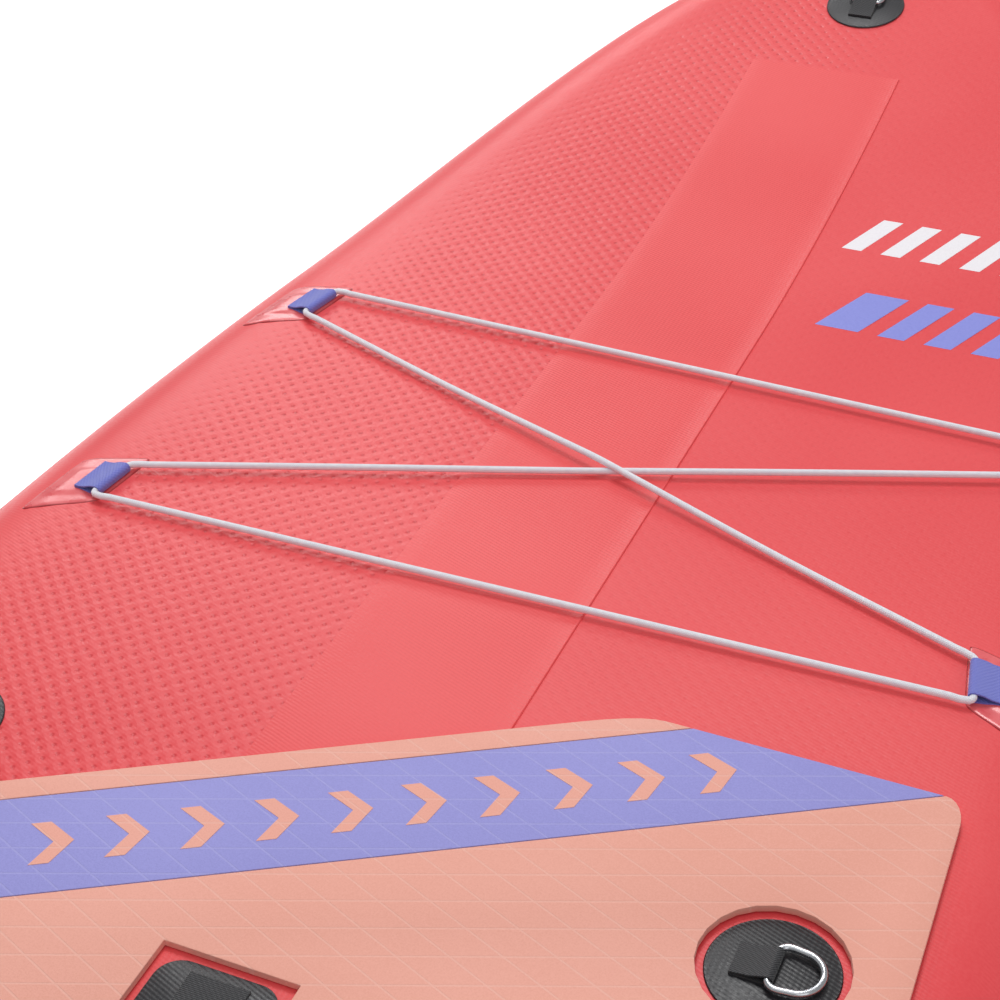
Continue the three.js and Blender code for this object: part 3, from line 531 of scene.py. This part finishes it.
def outlineAt(turn):
    power = body["nosePower"] if turn <= math.pi / 2 else body["tailPower"]
    sine, cosine = max(math.sin(turn), 0.0), math.cos(turn)
    x = 0.0 if sine < 1e-9 else body["flatHalf"] * sine ** (2 / power)
    y = math.copysign(body["flatTip"] * abs(cosine) ** (2 / power), cosine)
    slope = Vector(((x / body["flatHalf"]) ** (power - 1) / body["flatHalf"],
                    math.copysign((abs(y) / body["flatTip"]) ** (power - 1), y) / body["flatTip"]))
    return x, y, slope.normalized()


def railPoint(turn, angle, radius, side, inset=0.0):
    x, y, out = outlineAt(turn)
    reach = radius * math.sin(angle) - inset
    y += out.y * reach
    return Vector((side * (x + out.x * reach), y,
                   body["middle"] + radius * math.cos(angle) + rocker(y)))


def onDeck(x, y, height):
    # A point over the flat deck, or wrapped over the rail where it is beyond the flat.
    side = math.copysign(1, x)
    turns = [math.pi * i / 600 for i in range(601)]
    turn = min(turns, key=lambda t: (outlineAt(t)[0] - abs(x)) ** 2 + (outlineAt(t)[1] - y) ** 2)
    px, py, out = outlineAt(turn)
    beyond = (abs(x) - px) * out.x + (y - py) * out.y
    if beyond <= 0:
        return Vector((x, y, deckZ + height + rocker(y)))
    angle = beyond / body["railRadius"]
    reach = (body["railRadius"] + height) * math.sin(angle) - beyond
    y += out.y * reach
    return Vector((x + side * out.x * reach, y,
                   body["middle"] + (body["railRadius"] + height) * math.cos(angle) + rocker(y)))


def skinSheet(name, upper, material, node):
    bm = bmesh.new()
    quilt = bm.verts.layers.float.new("quilt")
    flatShare = 0.8  # columns over the flat part; the rest wrap the rail

    def place(s, t):
        turn = math.pi * t
        g = 2 * s - 1
        side = 1 if g >= 0 else -1
        if abs(g) <= flatShare:
            x, y, _ = outlineAt(turn)
            point = Vector((g / flatShare * x, y, deckZ + rocker(y)))
        else:
            angle = (abs(g) - flatShare) / (1 - flatShare) * body["deckWrap"]
            point = railPoint(turn, angle, body["railRadius"], side)
        if not upper:
            point.z = 2 * (body["middle"] + rocker(point.y)) - point.z
        return point

    made = mappedGrid(bm, body["columns"], body["rows"], place)
    for vert in made:
        x, y = abs(vert.co.x), vert.co.y
        power = body["nosePower"] if y >= 0 else body["tailPower"]
        half = body["flatHalf"] * max(0.0, 1 - (abs(y) / body["flatTip"]) ** power) ** (1 / power)
        vert[quilt] = min(1.0, max(0.0, (half + 8 * mm - x) / (62 * mm)))
    bmesh.ops.remove_doubles(bm, verts=bm.verts, dist=1e-6)
    bmesh.ops.recalc_face_normals(bm, faces=bm.faces)
    up = sum((f.normal.z for f in bm.faces))
    if (up < 0) == upper:
        bmesh.ops.reverse_faces(bm, faces=bm.faces)
    bmesh.ops.solidify(bm, geom=bm.faces[:], thickness=body["skin"])
    return finishPiece(name, bm, material, "board", [node])


skinSheet("deckSkin", True, deckPvc, "deck_skin")
skinSheet("bottomSkin", False, deckPvc, "bottom_skin")


# A strip along the rail. Side 0 is a tape that runs over a tip from one rail to the other.
def railStrip(name, side, fromTurn, toTurn, angles, lift, material, node, steps):
    bm = bmesh.new()
    low, high = angles
    radius = body["railRadius"] + lift

    def place(s, t):
        turn = fromTurn + (toTurn - fromTurn) * t
        way = side or (1 if 0 <= turn <= math.pi else -1)
        turn = abs(turn) if turn <= math.pi else 2 * math.pi - turn
        return railPoint(turn, low + (high - low) * s, radius, way)

    mappedGrid(bm, 20, steps, place)
    bmesh.ops.remove_doubles(bm, verts=bm.verts, dist=1e-6)
    bmesh.ops.recalc_face_normals(bm, faces=bm.faces)
    middle = Vector((0, 0, body["middle"]))
    outward = sum((f.calc_center_median() - middle).dot(f.normal) for f in bm.faces)
    if outward < 0:
        bmesh.ops.reverse_faces(bm, faces=bm.faces)
    bmesh.ops.solidify(bm, geom=bm.faces[:], thickness=body["skin"])
    roundEdges(bm, 0.35 * mm, 1, 60)
    return finishPiece(name, bm, material, "board", [node])


bandAngles = (math.radians(50), math.radians(130))
for name, side, node in (("railBandRight", 1, "rail_band_right"),
                         ("railBandLeft", -1, "rail_band_left")):
    railStrip(name, side, 0.0, math.pi, bandAngles, 0.7 * mm, shadedRailPvc, node, 200)
tapeAngles = (math.radians(24), math.radians(156))
tapeTurn = 0.29
for name, tip, node in (("noseJointTape", 0.0, "nose_joint_tape"),
                        ("tailJointTape", math.pi, "tail_joint_tape")):
    railStrip(name, 0, tip - tapeTurn, tip + tapeTurn, tapeAngles, 1.5 * mm, tapePvc,
              node, 40)

# The band glued down the middle: its left edge is feathered into the deck, its right edge ends
# in a crisp welded seam.
bandLook = {"feather": 9 * mm, "top": 0.75 * mm, "seamWide": 1.3 * mm, "seamRise": 0.45 * mm}


def middleBand(name, node, upper, material):
    low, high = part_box(node)
    edges = [low.x, low.x + bandLook["feather"] * 0.4, low.x + bandLook["feather"],
             *(low.x + (high.x - low.x) * k / 8 for k in range(1, 8)),
             high.x - 2 * bandLook["seamWide"], high.x - bandLook["seamWide"],
             high.x - 0.5 * bandLook["seamWide"], high.x]
    lifts = [0.05 * mm, 0.5 * bandLook["top"], bandLook["top"], *[bandLook["top"]] * 7,
             bandLook["top"], bandLook["top"] + bandLook["seamRise"],
             bandLook["top"] + bandLook["seamRise"], bandLook["top"] * 0.6]
    last = len(edges) - 1
    bm = bmesh.new()

    def place(s, t):
        i = round(s * last)
        y = low.y + (high.y - low.y) * t
        z = deckZ + lifts[i] + rocker(y)
        if not upper:
            z = 2 * (body["middle"] + rocker(y)) - z
        return Vector((edges[i], y, z))

    mappedGrid(bm, last, 130, place)
    made = bmesh.ops.extrude_face_region(bm, geom=bm.faces[:])["geom"]
    down = -0.6 * mm if upper else 0.6 * mm
    bmesh.ops.translate(bm, vec=(0, 0, down), verts=vertsOf(made))
    return finishPiece(name, bm, material, "board", [node])


middleBand("deckStringer", "deck_stringer", True, bandPvc)
middleBand("hullStringer", "hull_stringer", False, bandPvc)
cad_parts["drop_stitch_core"].data.materials.clear()
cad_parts["drop_stitch_core"].data.materials.append(bandPvc)
print("inflated body ready")


# The foam deck pad.
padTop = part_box("pad_lilac_band")[1].z
for node, foam, slotName in (("pad_border", peachFoam, "peach_foam"),
                             ("pad_lilac_band", lilacFoam, "lilac_foam"),
                             ("pad_main", peachFoam, "peach_foam"),
                             ("pad_tail", lilacFoam, "lilac_foam")):
    softenedNode(node, foam, "board", 0.5 * mm, 2, 50)
softenedNode("kick_bar", peachFoam, "board", 2.5 * mm, 4, 20)

# Plain chevrons inlaid in the lilac band, and slanted bars printed on the deck.
chevrons = {
    "slope": math.radians(30.7), "bandMiddle": (121 * mm, 357 * mm), "pitch": 44 * mm,
    "tall": 34 * mm, "thickness": 12 * mm, "reach": 13 * mm,
}


def chevron(bm, matrix, tall, thick, reach, deep):
    half = tall / 2
    corners = [(-reach, -half), (-reach + thick, -half), (reach, 0), (-reach + thick, half),
               (-reach, half), (reach - thick, 0)]
    verts = [bm.verts.new(matrix @ Vector((x, y, 0))) for x, y in corners]
    lowerHalf = bm.faces.new([verts[0], verts[1], verts[2], verts[5]])
    upperHalf = bm.faces.new([verts[5], verts[2], verts[3], verts[4]])
    made = bmesh.ops.extrude_face_region(bm, geom=[lowerHalf, upperHalf])["geom"]
    bmesh.ops.translate(bm, vec=(0, 0, deep), verts=vertsOf(made))


bandLow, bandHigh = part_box("pad_lilac_band")
bm = bmesh.new()
along = Vector((math.cos(chevrons["slope"]), math.sin(chevrons["slope"])))
for k in range(-10, 3):
    middle = Vector(chevrons["bandMiddle"]) + along * k * chevrons["pitch"]
    if middle.x < bandLow.x + 50 * mm:
        continue
    turn = Matrix.Translation((middle.x, middle.y, padTop - 0.1 * mm)) @ Matrix.Rotation(
        chevrons["slope"], 4, "Z")
    chevron(bm, turn, chevrons["tall"], chevrons["thickness"], chevrons["reach"], 0.35 * mm)
finishPiece("padChevrons", bm, peachFoam, "board")

deckPrint = {"whiteRow": (1060 * mm, 1112 * mm), "lilacRow": (940 * mm, 1000 * mm),
             "lean": math.radians(24), "stroke": 15 * mm, "inkLift": 0.12 * mm}


def slantedBars(name, row, starts, wides, material):
    bm = bmesh.new()
    low, high = row
    shear = (high - low) * math.tan(deckPrint["lean"])
    for start, wide in zip(starts, wides):
        corners = [(start, low), (start + wide, low),
                   (start + wide + shear, high), (start + shear, high)]
        verts = [bm.verts.new((x, y, deckZ + rocker(y) - 0.3 * mm)) for x, y in corners]
        face = bm.faces.new(verts)
        top = bmesh.ops.extrude_face_region(bm, geom=[face])["geom"]
        bmesh.ops.translate(bm, vec=(0, 0, 0.3 * mm + deckPrint["inkLift"]), verts=vertsOf(top))
    finishPiece(name, bm, material, "board")


slantedBars("whitePrint", deckPrint["whiteRow"],
            [88 * mm + 34 * mm * k for k in range(6)], [17 * mm] * 6, whiteInk)
slantedBars("lilacPrint", deckPrint["lilacRow"], [100 * mm, 152 * mm, 190 * mm, 228 * mm],
            [36 * mm, 22 * mm, 22 * mm, 22 * mm], lilacInk)
print("deck pad and print ready")


# The bungee net.
net = {
    "cordRadius": 2.5 * mm, "cordZ": 370.7 * mm, "webbingWide": 35 * mm, "webbingThick": 1.1 * mm,
    "shown": 21 * mm, "patchLift": 0.9 * mm, "tabRise": 0.8 * mm, "bendOut": 3.4 * mm,
    "over": 4.7 * mm, "under": -0.8 * mm, "sleeveRadius": 3.4 * mm,
}
# A clear patch, in its loop's own frame: outboard from the fold, and along the fold.
patch = {
    "inner": -5 * mm, "across": 47 * mm, "half": 32 * mm, "halfMore": 5 * mm,
    "forward": 7 * mm, "lean": -0.65,  # it leans back as it runs outboard
    "tabHalf": 18 * mm, "tabEnd": 34 * mm, "tabSoft": 0.8 * mm, "thick": 0.5 * mm,
}
# x and y of the cord's middle in each loop, turn of the loop's fold, and the way inboard
loops = {
    "front_left": (-292 * mm, 818 * mm, -0.20, 1), "rear_left": (-315 * mm, 532 * mm, -0.13, 1),
    "rear_right": (321 * mm, 545 * mm, 0.18, -1), "front_right": (303 * mm, 801 * mm, 0.20, -1),
}


def weldedPatch(loopName):
    x0, y0, turn, inboard = loops[loopName]
    bm = bmesh.new()
    rim = bm.verts.layers.float.new("rim")
    edgeOf = {}
    columns, rows = 30, 36

    def place(s, t):
        a, b = 2 * s - 1, 2 * t - 1
        # the square grid is drawn in at its corners
        u = (a * math.sqrt(1 - 0.1 * b * b * b * b) + 1) / 2
        across = b * math.sqrt(1 - 0.16 * a ** 6)
        reach = patch["inner"] + patch["across"] * u
        v = across * (patch["half"] + patch["halfMore"] * u)
        edge = max(abs(a), abs(b))
        inside = min(1.0, (1 - edge) * 8)
        # the webbing's sewn end shows as a raised step under the patch
        tab = 1 / (1 + math.exp((abs(v) - patch["tabHalf"]) / patch["tabSoft"]))
        tab /= 1 + math.exp((reach - patch["tabEnd"]) / patch["tabSoft"])
        height = net["patchLift"] * min(1.0, (1 - edge) * 12 + 0.15) + net["tabRise"] * tab * inside
        v += patch["forward"] + patch["lean"] * reach
        point = onDeck(x0 - inboard * reach * math.cos(turn) - v * math.sin(turn),
                       y0 - inboard * reach * math.sin(turn) + v * math.cos(turn), height)
        edgeOf[(round(point.x, 6), round(point.y, 6))] = edge
        return point

    made = mappedGrid(bm, columns, rows, place)
    for vert in made:
        edge = edgeOf[(round(vert.co.x, 6), round(vert.co.y, 6))]
        # mask for the painted shade along the patch's cut edge
        vert[rim] = min(1.0, max(0.0, (edge - 0.955) / 0.02))
    extruded = bmesh.ops.extrude_face_region(bm, geom=bm.faces[:])["geom"]
    bmesh.ops.translate(bm, vec=(0, 0, -patch["thick"]), verts=vertsOf(extruded))
    finishPiece("patch" + loopName.title().replace("_", ""), bm, patchPvc, "board",
                ["patch_" + loopName], 80)


def webbingLoop(loopName):
    x0, y0, turn, inboard = loops[loopName]
    sleeved = loopName == "front_right"
    inner = net["sleeveRadius"] + 0.4 * mm if sleeved else net["cordRadius"] + 0.5 * mm
    middle = inner + net["webbingThick"] / 2
    thick = net["webbingThick"]
    shown = net["shown"]
    path = [Vector((shown, -middle)), Vector((shown / 2, -middle)),
            *flatArc(0, 0, middle, math.pi * 1.5, math.pi * 0.42, 16),
            Vector((shown * 0.3, -middle + thick * 5.1)),
            Vector((shown * 0.55, -middle + thick * 2.9)),
            Vector((shown * 0.8, -middle + thick * 1.7)),
            Vector((shown, -middle + thick + 0.4 * mm))]
    bm = bmesh.new()
    ribbonSheet(bm, path, net["webbingWide"], thick, 8)
    bmesh.ops.recalc_face_normals(bm, faces=bm.faces)
    z = net["cordZ"] + (net["sleeveRadius"] - net["cordRadius"] if sleeved else 0)
    turned = Matrix.Rotation(turn + (math.pi if inboard > 0 else 0), 4, "Z")
    shift(bm, Matrix.Translation((x0, y0, z)) @ turned)
    finishPiece("loop" + loopName.title().replace("_", ""), bm, lilacWebbing, "board",
                ["loop_" + loopName])


for loopName in loops:
    weldedPatch(loopName)
    webbingLoop(loopName)


def cordRoute():
    def inLoop(name, along):
        x, y, turn, _ = loops[name]
        rise = net["sleeveRadius"] - net["cordRadius"] if name == "front_right" else 0
        return Vector((x - along * math.sin(turn), y + along * math.cos(turn), net["cordZ"] + rise))

    edge = net["webbingWide"] / 2 + 0.6 * mm

    def through(name, way):
        return [inLoop(name, way * a) for a in
                (edge, edge - 2 * mm, 9 * mm, -9 * mm, 2 * mm - edge, -edge)]

    def span(start, startWay, stop, stopWay, rise):
        a = inLoop(start, startWay * (edge + net["bendOut"]))
        b = inLoop(stop, stopWay * (edge + net["bendOut"]))
        a.x += loops[start][3] * 2.2 * mm
        b.x += loops[stop][3] * 2.2 * mm
        points = []
        for t in (0.02, 0.25, 0.44, 0.5, 0.56, 0.75, 0.98):
            point = a.lerp(b, t)
            point.z += rise * max(0.0, 1 - abs(t - 0.5) * 4)
            points.append(point)
        return [a, *points, b]

    d = "front_right"
    return [inLoop(d, 0.15 * mm), inLoop(d, 9 * mm), inLoop(d, edge - 2 * mm), inLoop(d, edge),
            *span(d, 1, "front_left", 1, 0), *through("front_left", 1),
            *span("front_left", -1, "rear_right", 1, net["over"]), *through("rear_right", 1),
            *span("rear_right", -1, "rear_left", -1, 0), *through("rear_left", -1),
            *span("rear_left", 1, d, -1, net["under"]),
            inLoop(d, -edge), inLoop(d, 2 * mm - edge), inLoop(d, -9 * mm), inLoop(d, -0.15 * mm)]


bm = bmesh.new()
route = cordRoute()
sweep(bm, smoothPath(route, 9 * mm), circleSection(net["cordRadius"], 14))
finishPiece("bungeeCord", bm, cordSheath, "board", ["bungee_cord"], 80)
softenedNode("cord_sleeve", steel, "board", 0.2 * mm)
print("bungee net ready")


# The carry handle.
handle = {"reach": 118 * mm, "gripLong": 124 * mm, "strapWide": 38 * mm, "strapThick": 2 * mm}
strapLow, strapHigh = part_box("handle_strap")
strapZ = strapLow.z + handle["strapThick"] / 2
handleTop = strapHigh.z - handle["strapThick"] / 2
reach, half = handle["reach"], handle["gripLong"] / 2
strapPoints = [(-reach - 30 * mm, strapZ), (-reach, strapZ), (-reach + 12 * mm, strapZ + 4 * mm),
               (-half - 6 * mm, handleTop - 5 * mm), (-half + 4 * mm, handleTop),
               (half - 4 * mm, handleTop), (half + 6 * mm, handleTop - 5 * mm),
               (reach - 12 * mm, strapZ + 4 * mm), (reach, strapZ), (reach + 30 * mm, strapZ)]
path = [Vector((p.x, p.z)) for p in
        smoothPath([Vector((y, 0, z)) for y, z in strapPoints], 5 * mm)]
bm = bmesh.new()
ribbonSheet(bm, path, handle["strapWide"], handle["strapThick"], 8)
shift(bm, Matrix.Rotation(math.radians(90), 4, "Z"))
finishPiece("handleStrap", bm, blackWebbing, "board", ["handle_strap"])

gripLow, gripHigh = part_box("handle_grip")
gripTall, gripWide = gripHigh.z - gripLow.z, gripHigh.x - gripLow.x
gripSection = []
for k in range(28):
    angle = 2 * math.pi * k / 28
    c, s = math.cos(angle), math.sin(angle)
    gripSection.append((math.copysign(abs(c) ** 0.6, c) * gripWide / 2,
                        math.copysign(abs(s) ** 0.75, s) * gripTall / 2))
gripMiddle = (gripLow + gripHigh) / 2
gripPath = [Vector((gripMiddle.x, gripLow.y + (gripHigh.y - gripLow.y) * i / 40, gripMiddle.z))
            for i in range(41)]


def gripSize(t):  # gathered at both sewn ends, full between
    ends = min(t, 1 - t)
    sewn = 0.03 * math.exp(-((ends - 0.09) / 0.012) ** 2)
    return 0.82 + 0.18 * min(1.0, math.sin(min(1.0, ends / 0.22) * math.pi / 2)) - sewn


bm = bmesh.new()
sweep(bm, gripPath, gripSection, sizeAt=gripSize)
roundEdges(bm, 1.5 * mm, 3, 60)
grip = finishPiece("handleGrip", bm, neoprene, "board", ["handle_grip"])
for node in ("handle_patch_front", "handle_patch_rear"):
    softenedNode(node, blackPvc, "board", 0.35 * mm)

# The steel rings on their patches.
ringSeats = {
    "front_left": (-274, 271, math.pi), "front_right": (274, 271, 0.0),
    "rear_left": (-291, -560, math.pi), "rear_right": (291, -560, 0.0),
    "nose": (0, 1440, math.pi / 2), "tail": (12, -1440, -math.pi / 2),
}
ring = {"wire": 2.2 * mm, "inside": 26 * mm, "long": 24 * mm, "patchRadius": 38 * mm,
        "tabThick": 1.2 * mm, "patchThick": 1.2 * mm, "gap": 0.3 * mm}
for seatName, (sx, sy, turn) in ringSeats.items():
    x, y = sx * mm, sy * mm
    tilt = 0.0
    z = deckZ
    if seatName == "nose":
        tilt = math.atan((rocker(y + 0.01) - rocker(y - 0.01)) / 0.02)
        z += rocker(y) + 0.7 * mm
    turned = Matrix.Rotation(tilt, 4, "X") @ Matrix.Rotation(turn, 4, "Z")
    seat = Matrix.Translation((x, y, z)) @ turned
    title = seatName.title().replace("_", "")
    bm = bmesh.new()
    top = ring["gap"] + ring["patchThick"]
    rim = ring["patchRadius"]
    spun(bm, [(0, ring["gap"]), (rim - 0.5 * mm, ring["gap"]), (rim, ring["gap"] + 0.3 * mm),
              (rim - 0.6 * mm, top - 0.3 * mm), (rim - 2.4 * mm, top - 0.25 * mm),
              (rim - 3.2 * mm, top), (0, top)], 64)
    shift(bm, seat)
    finishPiece("ringPatch" + title, bm, blackPvc, "board",
                ["ring_patch_" + seatName])

    barZ = top + ring["gap"] + ring["tabThick"] + ring["gap"] + ring["wire"]
    middle = ring["wire"] + ring["gap"] + ring["tabThick"] / 2
    path = [Vector((-22 * mm, -middle)), Vector((-11 * mm, -middle)),
            *flatArc(0, 0, middle, -math.pi / 2, math.pi * 0.58, 14),
            Vector((-11 * mm, -middle + 2.8 * mm)),
            Vector((-22 * mm, -middle + ring["tabThick"] + 0.3 * mm))]
    bm = bmesh.new()
    ribbonSheet(bm, path, ring["inside"] - 3 * mm, ring["tabThick"], 6)
    shift(bm, seat @ Matrix.Translation((0, 0, barZ)))
    finishPiece("ringTab" + title, bm, blackWebbing, "board",
                ["ring_tab_" + seatName])

    halfBar = ring["inside"] / 2 + ring["wire"]
    bow = flatArc(ring["long"] - halfBar + 4 * mm, 0, halfBar, math.pi / 2, -math.pi / 2, 10)
    outline = [(0, -halfBar + 3 * mm), (0, -0.4 * halfBar), (0, 0.4 * halfBar),
               (0, halfBar - 3 * mm), (3 * mm, halfBar), *bow, (3 * mm, -halfBar)]
    bm = bmesh.new()
    sweep(bm, smoothPath([Vector((px, py, 0)) for px, py in outline], 2 * mm, True),
          circleSection(ring["wire"], 12), closed=True)
    shift(bm, seat @ Matrix.Translation((0, 0, barZ)))
    finishPiece("ring" + title, bm, steel, "d_ring_" + seatName, ["ring_" + seatName], 80)
print("handle and rings ready")


# The valve.
valveLow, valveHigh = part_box("valve_barrel")
valveMiddle = (valveLow + valveHigh) / 2
valveAt = Matrix.Translation((valveMiddle.x, valveMiddle.y, deckZ))
cap = {"radius": 24 * mm, "top": 9 * mm, "bottom": 3.9 * mm, "flutes": 36, "fluteDeep": 0.6 * mm}
bm = bmesh.new()
spun(bm, [(0, cap["top"] - 0.8 * mm), (15 * mm, cap["top"] - 0.8 * mm), (16 * mm, cap["top"]),
          (22 * mm, cap["top"]), (23.4 * mm, cap["top"] - 0.6 * mm),
          (cap["radius"], cap["top"] - 2 * mm), (cap["radius"], cap["bottom"] + 0.4 * mm),
          (23.6 * mm, cap["bottom"]), (17.2 * mm, cap["bottom"]), (17.2 * mm, -5 * mm),
          (15 * mm, -5 * mm), (15 * mm, 5.5 * mm), (0, 5.5 * mm)], 4 * cap["flutes"])
for vert in bm.verts:  # grip flutes round the rim
    radius = math.hypot(vert.co.x, vert.co.y)
    if radius > 23 * mm:
        wave = 0.5 + 0.5 * math.cos(cap["flutes"] * math.atan2(vert.co.y, vert.co.x))
        vert.co.xy *= (radius - cap["fluteDeep"] * wave) / radius
barLow, barHigh = Vector((-18 * mm, -3.5 * mm, 7.6 * mm)), Vector((18 * mm, 3.5 * mm, 14 * mm))
made = bmesh.ops.create_cube(bm, size=1)["verts"]
bmesh.ops.scale(bm, vec=barHigh - barLow, verts=made)
bmesh.ops.translate(bm, vec=(barLow + barHigh) / 2, verts=made)
barEdges = list({e for v in made for e in v.link_edges})
bmesh.ops.bevel(bm, geom=barEdges, offset=1.6 * mm, offset_type="OFFSET", affect="EDGES",
                segments=4, profile=0.5, material=-1)
shift(bm, valveAt)
finishPiece("valveCap", bm, greyPlastic, "valve_cap", ["valve_cap"])

bm = bmesh.new()
flangeInner = 22 * mm
spun(bm, [(flangeInner, 0.3 * mm), (33 * mm, 0.3 * mm), (33 * mm, 1.6 * mm), (32.4 * mm, 2.3 * mm),
          (30 * mm, 3.1 * mm), (28.6 * mm, 3.4 * mm), (flangeInner, 3.4 * mm),
          (flangeInner, 0.3 * mm)], 72)
shift(bm, valveAt)
finishPiece("valveFlange", bm, greyPlastic, "board", ["valve_flange"])
softenedNode("valve_barrel", greyPlastic, "board", 0.3 * mm, 1)
softenedNode("valve_plunger", blackPlastic, "plunger", 0.3 * mm, 1)
softenedNode("cap_tether", blackPlastic, "board", 0.3 * mm, 1)
bm = nodeShape("valve_spring")
finishPiece("valveSpring", bm, steel, "board", ["valve_spring"], 80)

# The fins.
softenedNode("fin_box", blackPlastic, "board", 0.7 * mm, 2)
softenedNode("centre_fin", blackPlastic, "fin", 2.2 * mm, 4, 40)
softenedNode("fin_nut_plate", steel, "fin", 0.4 * mm)
softenedNode("fin_bolt", steel, "bolt", 0.3 * mm)
for side in ("left", "right"):
    softenedNode("side_fin_" + side, blackPlastic, "board", 1.6 * mm, 3, 40)
print("valve and fins ready")


# Camera, floor and light.
camera = {"place": (0.4558, -0.461, 1.2188), "azimuth": 24.68, "elevation": 35.67, "roll": 1.78,
          "lens": 72.76, "sensor": 36}
azimuth, elevation, roll = (math.radians(camera[k]) for k in ("azimuth", "elevation", "roll"))
forward = Vector((-math.sin(azimuth) * math.cos(elevation), math.cos(azimuth) * math.cos(elevation),
                  -math.sin(elevation)))
levelRight = Vector((math.cos(azimuth), math.sin(azimuth), 0))
levelUp = levelRight.cross(forward)
right = levelRight * math.cos(roll) - levelUp * math.sin(roll)
up = levelRight * math.sin(roll) + levelUp * math.cos(roll)
cameraData = bpy.data.cameras.new("camera")
cameraData.lens, cameraData.sensor_width = camera["lens"], camera["sensor"]
cameraData.clip_start, cameraData.clip_end = 0.05, 200
cameraObject = bpy.data.objects.new("camera", cameraData)
scene.collection.objects.link(cameraObject)
cameraObject.matrix_world = Matrix.Translation(camera["place"]) @ Matrix(
    (right, up, -forward)).transposed().to_4x4()
scene.camera = cameraObject

floor = {"half": 70.0, "drop": 0.004}
bm = bmesh.new()
bmesh.ops.create_grid(bm, x_segments=2, y_segments=2, size=floor["half"])
floorMesh = bpy.data.meshes.new("floor")
bmesh.ops.translate(bm, vec=(0, 0, cadLow.z - floor["drop"]), verts=bm.verts)
bm.to_mesh(floorMesh)
bm.free()
floorObject = bpy.data.objects.new("floor", floorMesh)
scene.collection.objects.link(floorObject)
floorMaterial, tree, shader = newMaterial("paleFloor", {
    "Roughness": 0.9, "Emission Color": (1, 1, 1, 1), "Emission Strength": 0.55})
tree.links.new(blendColour(tree, noiseAt(tree, objectPlace(tree), 1.5, 2), "#f2f2f3", "#fafafa"),
               shader.inputs["Base Color"])
floorMesh.materials.append(floorMaterial)

world = bpy.data.worlds.new("studio")
scene.world = world
world.use_nodes = True
background = world.node_tree.nodes["Background"]
background.inputs["Color"].default_value = (1, 1, 1, 1)
background.inputs["Strength"].default_value = 0.40


def softbox(name, place, target, size, power):
    light = bpy.data.lights.new(name, "AREA")
    light.shape, light.size, light.size_y, light.energy = "RECTANGLE", size[0], size[1], power
    lamp = bpy.data.objects.new(name, light)
    scene.collection.objects.link(lamp)
    aim = (Vector(target) - Vector(place)).to_track_quat("-Z", "Y")
    lamp.matrix_world = Matrix.Translation(place) @ aim.to_matrix().to_4x4()


softbox("keySoftbox", (-0.7, 2.2, 3.9), (0, 0.4, 0.36), (1.3, 1.3), 57)
softbox("sheenSoftbox", (-3.0, 4.8, 3.0), (0, 0.6, 0.36), (2.2, 1.4), 50)
softbox("fillSoftbox", (2.8, -2.4, 3.0), (0, 0.0, 0.36), (2.5, 2.5), 20)
softbox("topSoftbox", (0.0, -0.2, 4.2), (0, 0.0, 0.36), (3.0, 4.0), 26)
print("camera, floor and light ready")
